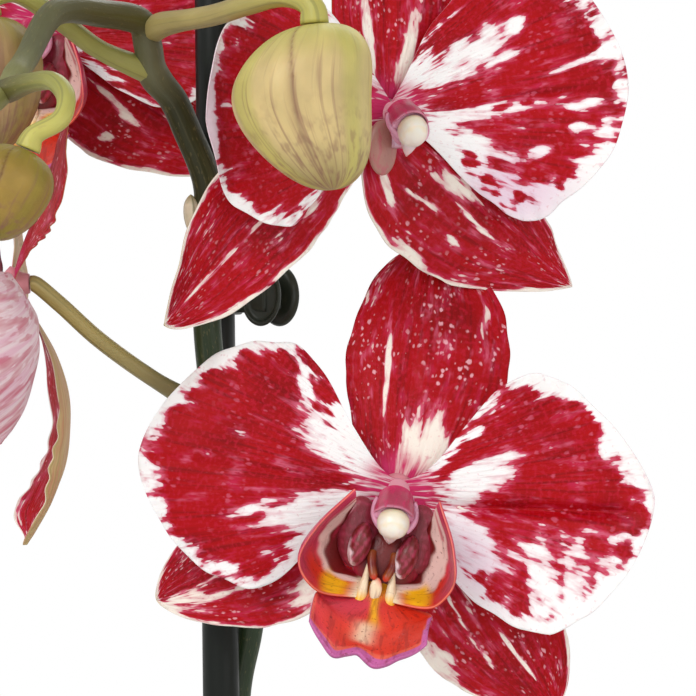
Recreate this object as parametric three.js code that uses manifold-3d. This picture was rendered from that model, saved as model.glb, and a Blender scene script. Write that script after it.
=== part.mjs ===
// A moth orchid in a pot: one staked flower spike with four splashed red and white blooms and
// nodding buds, over a fan of leaves, aerial roots and bark in a lined ceramic pot.
// Millimetres, +Z up. The origin is the centre of the pot's foot and the blooms face -Y.
import * as THREE from "three";
import { mergeVertices } from "three/addons/utils/BufferGeometryUtils.js";
import Module from "manifold-3d";

const wasm = await Module();
wasm.setup();

// Driving dimensions
const GAP = 0.3; // clearance between pieces that touch
const POT_HEIGHT = 122;
const POT_FOOT_R = 44;
const POT_RIM_R = 63;
const POT_WALL = 4;
const POT_FLOOR = 6;
const LINER_WALL = 1;
const LINER_TOP = 118;
const BARK_TOP = 108;
const CHIP_COUNT = 20;
const STAKE_R = 3.4;
const STAKE_FOOT = new THREE.Vector3(6.8, 2, 24);
const STAKE_TOP = new THREE.Vector3(0.6, 2, 548);
const CROWN_X = -12;
const CROWN_Y = -6;
const CROWN_FOOT = 96;
const CROWN_TOP = 158;
const CROWN_R = 8.5;
const SPIKE_R_FOOT = 3.1;
const SPIKE_R_TIP = 1.7;
const PEDICEL_R = 1.75;
const TEPAL_THICKNESS = 0.9;
const CLAW = 2.2; // half width of a tepal where it leaves the flower's centre
const HUB_BACK = -6.5; // how far the back of a flower's centre lies behind its face

const v3 = (x, y, z) => new THREE.Vector3(x, y, z);
const radians = THREE.MathUtils.degToRad;
const lerp = THREE.MathUtils.lerp;
const smooth = (x, from, to) => THREE.MathUtils.smoothstep(x, from, to);

// A seeded draw between 0 and 1, the same on every run.
function seeded(seed) {
  let state = seed;
  return () => {
    state = (state * 1664525 + 1013904223) % 4294967296;
    return state / 4294967296;
  };
}

// Materials

const finish = (color, roughness, metalness = 0) =>
  new THREE.MeshStandardMaterial({ color, roughness, metalness, flatShading: false });

const MATERIALS = {
  glaze: finish(0xf1efe9, 0.25),
  linerPlastic: finish(0x9aa39a, 0.35),
  bark: finish(0x6b432b, 0.9),
  root: finish(0xa9b29a, 0.75),
  crown: finish(0x6f7d42, 0.6),
  leaf: finish(0x2f5a2a, 0.4),
  spike: finish(0x5d6a3e, 0.5),
  stake: finish(0x12201a, 0.45),
  clip: finish(0x232c22, 0.35),
  sepal: finish(0xa11420, 0.5),
  petal: finish(0xc2283c, 0.5),
  lip: finish(0xd8403a, 0.45),
  column: finish(0xc8506f, 0.45),
  cap: finish(0xf3ead2, 0.35),
  bud: finish(0xc4b866, 0.55),
};

// Solids

function toSolid(geometry) {
  const bare = new THREE.BufferGeometry();
  bare.setAttribute("position", geometry.getAttribute("position").clone());
  if (geometry.index) bare.setIndex(geometry.index.clone());
  const merged = mergeVertices(bare, 1e-4);
  const solid = new wasm.Manifold(
    new wasm.Mesh({
      numProp: 3,
      vertProperties: new Float32Array(merged.getAttribute("position").array),
      triVerts: new Uint32Array(merged.index.array),
    }),
  );
  if (solid.volume() >= 0) return solid;
  const turned = merged.index.array;
  for (let i = 0; i < turned.length; i += 3) {
    [turned[i + 1], turned[i + 2]] = [turned[i + 2], turned[i + 1]];
  }
  return toSolid(merged);
}

function toGeometry(solid) {
  const mesh = solid.getMesh();
  const geometry = new THREE.BufferGeometry();
  geometry.setAttribute("position", new THREE.BufferAttribute(new Float32Array(mesh.vertProperties), 3));
  geometry.setIndex(new THREE.BufferAttribute(new Uint32Array(mesh.triVerts), 1));
  geometry.computeVertexNormals();
  return geometry;
}

const fuse = (...solids) => solids.reduce((whole, piece) => whole.add(piece));

// The solid without any loose sliver that a cut or join left beside it.
const oneBody = (solid) => solid.decompose().reduce((a, b) => (b.volume() > a.volume() ? b : a));

function named(name, solid, material) {
  const mesh = new THREE.Mesh(toGeometry(solid), MATERIALS[material]);
  mesh.name = name;
  return mesh;
}

function indexed(points, faces) {
  const geometry = new THREE.BufferGeometry().setFromPoints(points);
  geometry.setIndex(faces);
  return geometry;
}

// A thin closed blade round the middle surface point(t, s), t from 0 at its root to 1 at its
// tip and s from -1 to 1 across. Front and back share one triangle pattern.
function sheet(point, rows, columns, thickness) {
  const step = 1e-3;
  const front = [];
  const back = [];
  const faces = [];
  for (let i = 0; i <= rows; i += 1) {
    const t = (1 - Math.cos((Math.PI * i) / rows)) / 2;
    const tc = THREE.MathUtils.clamp(t, 2 * step, 1 - 2 * step);
    for (let j = 0; j <= columns; j += 1) {
      const s = (2 * j) / columns - 1;
      const along = point(tc + step, s).sub(point(tc - step, s));
      const across = point(tc, s + step).sub(point(tc, s - step));
      const half = along.cross(across).normalize().multiplyScalar(thickness / 2);
      const middle = point(tc, s);
      front.push(middle.clone().add(half));
      back.push(middle.clone().sub(half));
    }
  }
  const count = front.length;
  const at = (i, j) => i * (columns + 1) + j;
  for (let i = 0; i < rows; i += 1) {
    for (let j = 0; j < columns; j += 1) {
      const [a, b, c, d] = [at(i, j), at(i + 1, j), at(i + 1, j + 1), at(i, j + 1)];
      faces.push(a, b, c, a, c, d);
      faces.push(count + a, count + c, count + b, count + a, count + d, count + c);
    }
  }
  const edge = [];
  for (let i = 0; i < rows; i += 1) edge.push(at(i, 0));
  for (let j = 0; j < columns; j += 1) edge.push(at(rows, j));
  for (let i = rows; i > 0; i -= 1) edge.push(at(i, columns));
  for (let j = columns; j > 0; j -= 1) edge.push(at(0, j));
  edge.forEach((p, k) => {
    const q = edge[(k + 1) % edge.length];
    faces.push(count + p, count + q, q, count + p, q, p);
  });
  return toSolid(indexed([...front, ...back], faces));
}

// A closed skin over rings of points, each end closed by a fan round its middle.
function loft(rings) {
  const sides = rings[0].length;
  const points = rings.flat();
  const faces = [];
  for (let i = 0; i + 1 < rings.length; i += 1) {
    for (let k = 0; k < sides; k += 1) {
      const next = (k + 1) % sides;
      const [a, b] = [i * sides + k, i * sides + next];
      const [c, d] = [(i + 1) * sides + next, (i + 1) * sides + k];
      faces.push(a, b, c, a, c, d);
    }
  }
  [0, rings.length - 1].forEach((i, end) => {
    const middle = rings[i].reduce((sum, p) => sum.add(p), v3(0, 0, 0)).divideScalar(sides);
    const m = points.push(middle) - 1;
    for (let k = 0; k < sides; k += 1) {
      const [a, b] = [i * sides + k, i * sides + ((k + 1) % sides)];
      if (end === 0) faces.push(m, b, a);
      else faces.push(m, a, b);
    }
  });
  return toSolid(indexed(points, faces));
}

// A round tube along a curve whose radius changes along it.
function tube(curve, radiusAt, sides, steps) {
  const frames = curve.computeFrenetFrames(steps, false);
  const rings = [];
  for (let i = 0; i <= steps; i += 1) {
    const u = i / steps;
    const centre = curve.getPointAt(u);
    const ring = [];
    for (let k = 0; k < sides; k += 1) {
      const angle = (2 * Math.PI * k) / sides;
      const r = radiusAt(u);
      const out = frames.normals[i].clone().multiplyScalar(r * Math.cos(angle));
      ring.push(out.addScaledVector(frames.binormals[i], r * Math.sin(angle)).add(centre));
    }
    rings.push(ring);
  }
  return loft(rings);
}

const lathe = (profile, segments) =>
  toSolid(
    new THREE.LatheGeometry(profile.map(([r, z]) => new THREE.Vector2(r, z)), segments).rotateX(Math.PI / 2),
  );

const throughPoints = (points) => new THREE.CatmullRomCurve3(points.map((p) => v3(...p)));

// A bloom's tepals. A side is [half width, widest at this share of the length, fullness of
// the base, fullness of the tip]; a lower fullness figure gives a rounder outline.

function halfWidth([width, widest, base, tip], t) {
  const rise = t < widest ? Math.sin((Math.PI / 2) * (t / widest)) ** base : 1;
  const fall = t > widest ? Math.cos((Math.PI / 2) * ((t - widest) / (1 - widest))) ** tip : 1;
  return CLAW * (1 - t) ** 2 + width * rise * fall;
}

// One tepal in the flower's own frame: X to the viewer's right, Y up, Z towards the viewer.
// lift is how far the tip comes forward, bow the belly between root and tip, cup how far the
// edges come forward, ruffle the height of the waves along the edge, sway the sideways bend
// of the midrib and curl how far the tip's rim rolls forward.
function tepal(spec, rootZ, rows, columns) {
  const { angle, length, left, right } = spec;
  const { lift = 0, bow = 0, cup = 0, ruffle = 0, waves = 3, phase = 0, sway = 0, curl = 0, twist = 0 } = spec;
  const heading = radians(angle);
  const forward = v3(Math.cos(heading), Math.sin(heading), 0);
  const sideways = v3(-Math.sin(heading), Math.cos(heading), 0);
  const point = (t, s) => {
    const across = s * halfWidth(s > 0 ? left : right, Math.min(t, 0.9985));
    const rolled = curl * smooth(t, 0.8, 1);
    const wave = ruffle * Math.abs(s) ** 3 * Math.sin(waves * Math.PI * t + phase + s) * smooth(t, 0.1, 0.4);
    const edge = cup * s * s * smooth(t, 0.1, 0.5) + twist * s * t;
    const z = lift * t ** 1.5 + bow * Math.sin(Math.PI * t) + edge + wave + rolled;
    return forward
      .clone()
      .multiplyScalar(length * t - 0.6 * rolled)
      .addScaledVector(sideways, across + sway * Math.sin(Math.PI * t))
      .add(v3(0, 0, rootZ + z));
  };
  return sheet(point, rows, columns, TEPAL_THICKNESS);
}

const DORSAL = { angle: 90.4, length: 43, left: [13, 0.53, 0.75, 0.42], right: [15.8, 0.58, 0.66, 0.45] };
const PETAL_LEFT = { angle: 183.5, length: 44.6, left: [19.6, 0.5, 2.6, 0.43], right: [25.6, 0.52, 1, 0.43] };
const PETAL_RIGHT = { angle: 5.5, length: 44, left: [22.4, 0.55, 1.5, 0.6], right: [24.5, 0.55, 1.4, 0.48] };
const LATERAL_LEFT = { angle: 211.7, length: 47, left: [13, 0.5, 0.9, 0.62], right: [12, 0.5, 0.9, 0.62] };
const LATERAL_RIGHT = { angle: 313.9, length: 47.5, left: [8.8, 0.66, 0.6, 0.7], right: [11.8, 0.5, 0.8, 0.75] };

const BLOOMS = {
  lower: {
    place: [34.7, -24, 434.3],
    yaw: 0,
    pitch: 0,
    roll: -8.5,
    lip: true,
    sepals: [
      { ...DORSAL, lift: -11.5, bow: 1, cup: -1.2, ruffle: 0.8, waves: 3.3 },
      { ...LATERAL_LEFT, angle: 213.4, length: 48, lift: -10, bow: 1, cup: 1.5, ruffle: 0.9, waves: 4 },
      { ...LATERAL_RIGHT, lift: -8, bow: 1, cup: 1.6, ruffle: 0.7, waves: 3.5 },
    ],
    petals: [
      { ...PETAL_LEFT, lift: 1, bow: 2.6, cup: -2.6, ruffle: 1.1, waves: 4.2 },
      { ...PETAL_RIGHT, lift: 2, bow: -1.6, cup: 2.6, ruffle: 1.3, waves: 3.6, phase: 1 },
    ],
  },
  upper: {
    place: [34.2, -22, 501.8],
    yaw: 28,
    pitch: 0,
    roll: 0,
    lip: false,
    sepals: [
      { ...DORSAL, angle: 87, length: 44, lift: -6, bow: 1, cup: 1.5, ruffle: 0.8 },
      {
        angle: 223,
        length: 57,
        left: [10.7, 0.58, 1.25, 0.6],
        right: [10.4, 0.55, 0.8, 0.9],
        lift: -7,
        bow: 2,
        cup: 1.6,
        ruffle: 0.4,
        sway: -4,
      },
      {
        angle: 320.6,
        length: 48,
        left: [8.5, 0.55, 0.8, 0.9],
        right: [17, 0.38, 0.42, 0.85],
        lift: 4,
        bow: 0.6,
        cup: -0.8,
        ruffle: 0.4,
      },
    ],
    petals: [
      {
        angle: 184,
        length: 42,
        left: [17.8, 0.68, 1.6, 0.45],
        right: [22, 0.5, 1, 0.5],
        lift: 3,
        bow: 1,
        cup: 0.6,
        ruffle: 0.9,
        waves: 3.4,
        curl: 3.4,
      },
      {
        angle: 8,
        length: 44,
        left: [24, 0.55, 1.2, 0.42],
        right: [21.7, 0.56, 2, 0.65],
        lift: 10,
        bow: -2.6,
        cup: 1.6,
        ruffle: 1.3,
        waves: 4.4,
        phase: 2,
      },
    ],
  },
  left: {
    place: [-38.4, -12, 471.5],
    yaw: -93,
    pitch: 2,
    roll: -36,
    lip: true,
    sepals: [
      { ...DORSAL, angle: 84, length: 33, lift: -9, bow: -5, cup: 2.4, ruffle: 0.8, twist: -3 },
      { ...LATERAL_LEFT, angle: 214, length: 40, lift: 3, bow: 0, cup: 1, ruffle: 0.8 },
      { ...LATERAL_RIGHT, angle: 314, lift: -2, bow: -9, cup: 3, ruffle: 0.6, twist: 3 },
    ],
    petals: [
      { angle: 192, length: 34, left: [17, 0.5, 2, 0.5], right: [14, 0.52, 1, 0.5], lift: 7, bow: 0, cup: 1, ruffle: 1 },
      { angle: 8, length: 42, left: [20, 0.55, 1.5, 0.6], right: [19, 0.5, 1.4, 0.5], lift: 12.6, bow: -4, cup: -1, ruffle: 1, twist: 8 },
    ],
  },
  back: {
    place: [-34, 27, 522.3],
    yaw: -6,
    pitch: 4,
    roll: -4,
    lip: true,
    sepals: [
      { ...DORSAL, angle: 90, lift: -6, bow: 1, cup: 1.5, ruffle: 0.8 },
      { ...LATERAL_LEFT, angle: 216, lift: -8, bow: 1, cup: 1.5, ruffle: 0.8 },
      { ...LATERAL_RIGHT, angle: 322, length: 48, lift: -5, bow: 1, cup: 1.5, ruffle: 0.6, left: [12, 0.5, 0.7, 0.7] },
    ],
    petals: [
      { ...PETAL_LEFT, angle: 178, lift: 2, bow: 2, cup: -1.5, ruffle: 1 },
      { ...PETAL_RIGHT, angle: 8, lift: 3, bow: 1, cup: 1, ruffle: 1.1, right: [17, 0.55, 1.4, 0.48] },
    ],
  },
};

const SEPAL_ROWS = 6;
const SEPAL_COLUMNS = 4;
const PETAL_ROWS = 7;
const PETAL_COLUMNS = 6;

function sepalWhorl(specs) {
  const hub = lathe([[0, HUB_BACK], [1.9, HUB_BACK], [4.2, -4.4], [4.2, -2.2], [0, -2.2]], 10);
  return fuse(hub, ...specs.map((spec) => tepal(spec, -3.4, SEPAL_ROWS, SEPAL_COLUMNS)));
}

function petalWhorl(specs) {
  const hub = lathe([[0, -1.9], [4.6, -1.9], [4.6, -0.2], [3.6, 0.5], [0, 0.5]], 10);
  return fuse(hub, ...specs.map((spec) => tepal(spec, -0.8, PETAL_ROWS, PETAL_COLUMNS)));
}

// The column's tip, under its cap, in the flower's frame.
const COLUMN_TIP = v3(-0.4, -4.4, 8.4);
const COLUMN_LEAN = Math.atan2(2.2, 3);
const COLUMN_FOOT = [[0, -1.4, 3.4], [0, -4, 3.6], [0, -6.6, 3.5]];
const FOOT_R = 1.7;

function columnSolid() {
  const stem = tube(
    throughPoints([[0, -0.3, 1.2], [0, -0.7, 2.6], [-0.2, -2.4, 5.6], COLUMN_TIP.toArray()]),
    (u) => 2.6 + 1.2 * smooth(u, 0.1, 0.8) - 0.3 * smooth(u, 0.85, 1),
    9,
    3,
  );
  const wing = (side) =>
    sheet(
      (t, s) => v3(side * (2.9 + 1.3 * Math.sin(Math.PI * t)), lerp(-1.4, -4.7, t) - s, lerp(3.6, 6.4, t) + s * 1.1),
      2,
      2,
      1.2,
    );
  const foot = tube(throughPoints(COLUMN_FOOT), () => FOOT_R, 6, 1);
  return oneBody(fuse(stem, wing(-1), wing(1), foot));
}

function capSolid() {
  const profile = [[0, 0], [2.9, 0], [3.3, 1.2], [2.3, 3], [0, 3.6]];
  const dome = lathe(profile, 10);
  const beak = toSolid(new THREE.ConeGeometry(1.1, 2.6, 5).rotateX(Math.PI).translate(0, -3.2, 1));
  const lean = new THREE.Matrix4().makeRotationX(COLUMN_LEAN);
  const seat = COLUMN_TIP.clone().add(v3(0, -Math.sin(COLUMN_LEAN), Math.cos(COLUMN_LEAN)).multiplyScalar(GAP + 0.05));
  lean.setPosition(seat);
  return toSolid(toGeometry(fuse(dome, beak)).applyMatrix4(lean));
}

// The lip: a throat under the column, two ear-shaped side lobes, a scooped middle lobe with
// raised corners, and two short horns of callus where the three lobes meet.
function lipSolid() {
  const throat = toSolid(mergeVertices(new THREE.SphereGeometry(1, 8, 4).scale(6.2, 5.6, 2.1).translate(0, -12.5, 3.3)));
  const lobe = (side) => {
    const outer = throughPoints([[5.2, -19.4, 9], [12.2, -18.2, 12], [13.6, -11.6, 12.6], [11.3, -5.2, 11], [7.8, -0.6, 9]]);
    const inner = throughPoints([[2.6, -15.4, 3.6], [5.8, -14.4, 2.9], [6.9, -10.4, 2.8], [7.2, -6.4, 4.4], [7, -2.4, 7]]);
    const point = (t, s) => {
      const q = (s + 1) / 2;
      const p = inner.getPoint(t).lerp(outer.getPoint(t), q);
      const bulge = 2 * Math.sin(Math.PI * q) * Math.sin(Math.PI * THREE.MathUtils.clamp(t, 0, 1));
      p.x += bulge;
      p.z -= bulge * 0.6;
      p.x *= side;
      return p;
    };
    return sheet(point, 4, 3, 0.9);
  };
  const spine = throughPoints([[-0.2, -15, 3.4], [-0.6, -20, 7.5], [-1, -26.5, 11.5], [-1, -30.6, 15], [-1, -28.4, 18.6]]);
  const middle = (t, s) => {
    const width = lerp(3.2, 10.6, smooth(t, 0.12, 0.55)) * (1 - 0.8 * smooth(t, 0.68, 1));
    const rise = 6.4 * smooth(t, 0.15, 0.6) * (1 - 0.75 * smooth(t, 0.7, 1));
    return spine.getPoint(t).add(v3(s * width, s * s * rise, -s * s * 1.2));
  };
  const horn = (side) =>
    tube(
      throughPoints([[side * 1.2, -12.6, 3.4], [side * 1.9, -15.4, 6.6], [side * 2.4, -17.6, 9.4]]),
      (u) => 1.5 - 0.8 * u,
      5,
      1,
    );
  const whole = fuse(throat, lobe(-1), lobe(1), sheet(middle, 6, 4, 1), horn(-1), horn(1));
  const room = tube(throughPoints([...COLUMN_FOOT, [0, -7, 3.5]]), () => FOOT_R + GAP + 0.1, 6, 1);
  return whole.subtract(room);
}

// A flower's group, turned so that its face looks along -Y at yaw 0.
function bloomGroup(name, bloom) {
  const outer = new THREE.Group();
  outer.position.set(...bloom.place);
  outer.rotation.set(radians(90 + bloom.pitch), 0, radians(bloom.yaw), "ZXY");
  const inner = new THREE.Group();
  inner.rotation.z = radians(bloom.roll);
  outer.add(inner);
  inner.add(named(`bloom_${name}_sepals`, sepalWhorl(bloom.sepals), "sepal"));
  inner.add(named(`bloom_${name}_petals`, petalWhorl(bloom.petals), "petal"));
  inner.add(named(`bloom_${name}_column`, columnSolid(), "column"));
  inner.add(named(`bloom_${name}_anther_cap`, capSolid(), "cap"));
  if (bloom.lip) inner.add(named(`bloom_${name}_lip`, lipSolid(), "lip"));
  outer.updateMatrixWorld(true);
  return outer;
}

// Buds. Each hangs from its own stalk: top is where the stalk meets it and tip its lower end.

const BUDS = {
  front: { top: [20.4, -57.5, 514.4], tip: [23.4, -58.6, 486.6], belly: [-3.4, 0, 0], radius: 11.8, sides: 15, rings: 9 },
  left: { top: [-26, -76, 491.4], tip: [-32.6, -77, 476.8], belly: [-0.4, 0, 0], radius: 7.8, sides: 12, rings: 7 },
  rear: { top: [-37.2, -33.4, 518], tip: [-36, -34.6, 494.6], belly: [0, 0, 0], radius: 9.2, sides: 12, rings: 7 },
  fourth: { top: [-43, -75, 488], tip: [-46, -78, 475.4], belly: [0, 0, 0], radius: 5.4, sides: 8, rings: 5 },
  fifth: { top: [-47.6, -77, 494.6], tip: [-56.6, -80, 489.6], belly: [0, 0, 0], radius: 3.9, sides: 8, rings: 5 },
};
const BUD_NECK = 1.9;

function budSolid({ top, tip, belly, radius, sides, rings }) {
  const axis = throughPoints([top, v3(...top).lerp(v3(...tip), 0.45).add(v3(...belly)).toArray(), tip]);
  const down = v3(...tip).sub(v3(...top)).normalize();
  const across = v3(0, -1, 0).cross(down).normalize();
  const outward = down.clone().cross(across);
  const skin = [];
  for (let i = 0; i <= rings; i += 1) {
    const t = (1 - Math.cos((Math.PI * i) / rings)) / 2;
    const share = t < 0.42 ? t / 0.42 : (1 - t) / 0.58;
    const round = Math.sin((Math.PI / 2) * share) ** (t < 0.42 ? 0.34 : 0.5);
    const body = Math.max(radius * round, t < 0.5 ? BUD_NECK : 0.5);
    const ring = [];
    for (let k = 0; k < sides; k += 1) {
      const angle = (2 * Math.PI * k) / sides;
      const seam = 1 - 0.06 * Math.abs(Math.cos(1.5 * angle)) ** 6 * Math.sin(Math.PI * t);
      ring.push(
        axis
          .getPoint(t)
          .addScaledVector(across, body * seam * Math.cos(angle))
          .addScaledVector(outward, body * seam * Math.sin(angle)),
      );
    }
    skin.push(ring);
  }
  return loft(skin);
}

// The flower spike: one grown piece with its main stem, its joints and bracts, and the
// stalk of every bloom and bud.

const SPIKE_PATH = [
  [-4.6, 3, 132],
  [0.4, 8.6, 158],
  [5.4, 11, 190],
  [7, 10.6, 240],
  [6.2, 9.6, 300],
  [5.6, 9.2, 350],
  [5, 8.8, 394.6],
  [7.3, 7.4, 406.8],
  [9.2, 2.5, 420.5],
  [7.4, -4, 433.8],
  [2.8, -5.9, 444.9],
  [0.3, -5.4, 461.5],
  [0.1, -6.5, 476.1],
  [0.2, -9, 490],
  [-3.3, -12, 499.6],
  [-5.7, -14, 505],
  [-8.3, -16, 509.3],
  [-9.3, -18.5, 513.6],
  [-11.4, -21.4, 518],
  [-17.9, -28, 519.9],
  [-25.1, -38, 518],
  [-29.3, -48, 509.3],
  [-32.2, -58, 502.9],
  [-35.9, -66, 498.6],
  [-40.2, -72, 496.6],
];
const SPIKE = throughPoints(SPIKE_PATH);
const SPIKE_STEPS = 48;
// Heights up the lower stem where a bract wraps a resting bud, and the way each faces.
const BRACTS = [[205, 20], [268, 200], [335, 40]];

function spikeRadius(u) {
  return SPIKE_R_FOOT - 0.5 * smooth(u, 0.3, 0.7) - (SPIKE_R_FOOT - 0.5 - SPIKE_R_TIP) * smooth(u, 0.84, 1.02);
}

// A stalk through given points to a seat: its end and the way that leads out of the seat.
function stalk(points, [end, out], radius = PEDICEL_R) {
  const last = [2.4, 0].map((reach) => end.clone().addScaledVector(out, reach).toArray());
  const curve = throughPoints([...points, ...last]);
  const knob = (u) => 0.5 * (1 - smooth(u, 0.02, 0.3)) - 0.1 * smooth(u, 0.6, 1);
  return tube(curve, (u) => radius + knob(u), 7, Math.max(4, Math.round(curve.getLength() / 6)));
}

// A bract pressed against the stem: a pointed scale round a resting bud.
function bract(at, heading, length, width) {
  const out = v3(Math.cos(radians(heading)), Math.sin(radians(heading)), 0);
  const side = v3(-out.y, out.x, 0);
  const rings = [];
  for (let i = 0; i <= 3; i += 1) {
    const t = i / 3;
    const wide = width * (0.25 + 0.75 * Math.sin(Math.PI * Math.min(0.12 + t * 0.86, 1)) ** 0.6);
    const centre = v3(...at).addScaledVector(out, 2.1 + 0.5 * t).add(v3(0, 0, length * t));
    const ring = [];
    for (let k = 0; k < 6; k += 1) {
      const angle = (Math.PI * k) / 3;
      const rim = centre.clone().addScaledVector(side, wide * Math.cos(angle));
      ring.push(rim.addScaledVector(out, wide * 0.62 * Math.sin(angle)));
    }
    rings.push(ring);
  }
  return loft(rings);
}

function spikeSolid(blooms) {
  const seat = (name) => {
    const frame = blooms[name].children[0];
    const face = frame.localToWorld(v3(0, 0, HUB_BACK - GAP));
    const behind = frame.localToWorld(v3(0, 0, HUB_BACK - GAP - 1)).sub(face);
    return [face, behind];
  };
  const top = ({ top: p, tip }) => {
    const up = v3(...p).sub(v3(...tip)).normalize();
    return [v3(...p).addScaledVector(up, GAP), up];
  };
  const stalks = [
    stalk([[7.6, -4, 431.5], [12, -4.6, 434.6], [22, -3, 436.4], [30, -10, 435.4]], seat("lower")),
    stalk([[0.3, -6, 448.6], [-9, -9, 454], [-19.4, -12, 461.6], [-26.4, -13, 468]], seat("left"), 1.5),
    stalk([[0.1, -7, 478], [8, -8.6, 484], [19, -5, 493], [26, -9.6, 499]], seat("upper")),
    stalk([[0.6, -8, 489], [7, -4.6, 491.6], [9.8, 6, 495.6], [9.6, 26, 502], [3, 43, 510], [-12, 50.6, 517], [-26, 46, 521]], seat("back")),
    stalk([[-8.3, -16, 509.3], [-18.5, -20, 513.5], [-25.2, -26, 518.2], [-32.6, -31, 522.6], [-36.6, -33.2, 521.4]], top(BUDS.rear)),
    stalk([[-9, -19.6, 517.2], [-6.6, -26, 517.6], [2.5, -38, 518], [9, -47, 519], [15.3, -54, 519.7], [19.2, -57, 518.2]], top(BUDS.front), 1.85),
    stalk([[-31.6, -57.6, 503.3], [-27, -64, 504.2], [-22.6, -69, 504], [-20.3, -72.4, 501.1], [-21, -74.8, 497.4]], top(BUDS.left), 1.6),
    stalk([[-37.6, -68.6, 497.6], [-40.6, -72.6, 496.4], [-42, -74, 492]], top(BUDS.fourth), 1.3),
    stalk([[-38.8, -70.6, 496.8], [-43, -74, 496]], top(BUDS.fifth), 1.2),
  ];
  const lowBracts = BRACTS.map(([height, heading]) => {
    const near = SPIKE.getSpacedPoints(400).reduce((a, b) => (Math.abs(b.z - height) < Math.abs(a.z - height) ? b : a));
    return bract(near.toArray(), heading, 15, 3.6);
  });
  const jointBract = bract([-0.2, -7.9, 481.6], 190, 6.5, 2.6);
  return fuse(tube(SPIKE, spikeRadius, 8, SPIKE_STEPS), ...stalks, ...lowBracts, jointBract);
}

// Leaves, in two ranks from a short crown, each with a jointed base.

const RIGHT_RANK = -38;
const LEFT_RANK = 144;
const LEAVES = [
  { heading: RIGHT_RANK - 4, height: 118, length: 205, width: 34, rise: 26, droop: 62 },
  { heading: LEFT_RANK + 3, height: 126, length: 198, width: 33, rise: 28, droop: 60 },
  { heading: RIGHT_RANK + 5, height: 134, length: 176, width: 31, rise: 36, droop: 60 },
  { heading: LEFT_RANK - 5, height: 141, length: 150, width: 28, rise: 44, droop: 58 },
  { heading: RIGHT_RANK, height: 147, length: 104, width: 21, rise: 58, droop: 40 },
];
const LEAF_START = 15; // distance of a leaf's joint from the crown's axis

// A leaf's section at share t of its length: a shallow channel, thick along the keel.
function leafRing(leaf, t, from, grow = 0) {
  const { heading, height, length, width, rise, droop } = leaf;
  const ways = radians(heading);
  const out = v3(Math.cos(ways), Math.sin(ways), 0);
  const side = v3(-Math.sin(ways), Math.cos(ways), 0);
  const steps = 24;
  let r = from;
  let z = height;
  for (let i = 0; i < steps; i += 1) {
    const angle = radians(rise - droop * ((i + 0.5) / steps) * t);
    r += (Math.cos(angle) * length * t) / steps;
    z += (Math.sin(angle) * length * t) / steps;
  }
  const pitch = radians(rise - droop * t);
  const up = out.clone().multiplyScalar(-Math.sin(pitch)).add(v3(0, 0, Math.cos(pitch)));
  const base = 0.3 + 0.7 * Math.sin((Math.PI / 2) * Math.min(t / 0.45, 1)) ** 1.1;
  const tip = t > 0.45 ? Math.cos((Math.PI / 2) * ((Math.min(t, 0.997) - 0.45) / 0.55)) ** 0.5 : 1;
  const half = width * base * tip + grow;
  const centre = v3(CROWN_X, CROWN_Y, 0).addScaledVector(out, r).add(v3(0, 0, z));
  const channel = 0.62 - 0.42 * smooth(t, 0, 0.4);
  const ring = [];
  const columns = 6;
  const thick = (s) => lerp(3.4, 2.4, smooth(t, 0, 0.4)) * (1 - 0.62 * s * s) + grow;
  const at = (s, face) =>
    centre
      .clone()
      .addScaledVector(side, s * half)
      .addScaledVector(up, half * channel * Math.abs(s) ** 1.5 + (face * thick(s)) / 2);
  for (let j = 0; j <= columns; j += 1) ring.push(at((2 * j) / columns - 1, 1));
  for (let j = columns; j >= 0; j -= 1) ring.push(at((2 * j) / columns - 1, -1));
  return ring;
}

function leafSolid(leaf) {
  const rings = [];
  const count = 10;
  for (let i = 0; i <= count; i += 1) rings.push(leafRing(leaf, (i / count) ** 0.92, LEAF_START));
  return loft(rings);
}

// The short stem, clasped by a keeled sheath under each leaf, with the youngest leaf furled
// on top.
function crownSolid(grow = 0) {
  const profile = [
    [0, CROWN_FOOT - grow],
    [CROWN_R - 3 + grow, CROWN_FOOT - grow],
    [CROWN_R + grow, CROWN_FOOT + 14],
    [CROWN_R + grow, 136],
    [CROWN_R - 2.4 + grow, 148],
    [1.6 + grow, CROWN_TOP + 4 + grow],
    [0, CROWN_TOP + 4 + grow],
  ];
  const stem = lathe(profile, 12).translate([CROWN_X, CROWN_Y, 0]);
  const sheaths = LEAVES.map((leaf) => {
    const rings = [-2, LEAF_START - GAP + grow].map((reach) => {
      const inward = (LEAF_START - reach) / (LEAF_START + 2);
      const ring = leafRing({ ...leaf, height: leaf.height - 3 * inward }, 0, reach, grow + 0.6 * inward);
      const below = ring.length / 2;
      ring.forEach((p, k) => {
        if (k >= below) p.z -= 12 * inward * Math.sin((Math.PI * (k - below + 0.5)) / below);
      });
      return ring;
    });
    return loft(rings);
  });
  return fuse(stem, ...sheaths);
}

// Aerial roots, from the crown over the bark and down into it, or out over the rim.

const ROOTS = [
  { radius: 2.6, path: [[-17, -12, 113], [-25, -22, 120], [-31, -31, 116], [-32, -33, 100]] },
  { radius: 2.3, path: [[-12, -13, 112], [-8, -25, 119], [2, -37, 117], [7, -41, 100]] },
  { radius: 2.5, path: [[-18, -2, 112], [-30, 5, 117], [-40, 12, 113], [-40, 18, 98]] },
  { radius: 2.2, path: [[-7, 0, 111], [1, 12, 118], [15, 24, 116], [22, 30, 98]] },
  { radius: 2.4, path: [[-13, 2, 110], [-15, 18, 118], [-13, 34, 116], [-10, 40, 98]] },
];

const rootSolid = ({ radius, path }, grow = 0) =>
  tube(throughPoints(path), (u) => radius * (1 - 0.12 * u) + grow, 7, 7);

// Pot, liner and bark

const wallRadius = (z) => lerp(POT_FOOT_R, POT_RIM_R, z / POT_HEIGHT);
const LINER_GAP = 1.2; // between liner and pot wall

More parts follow.
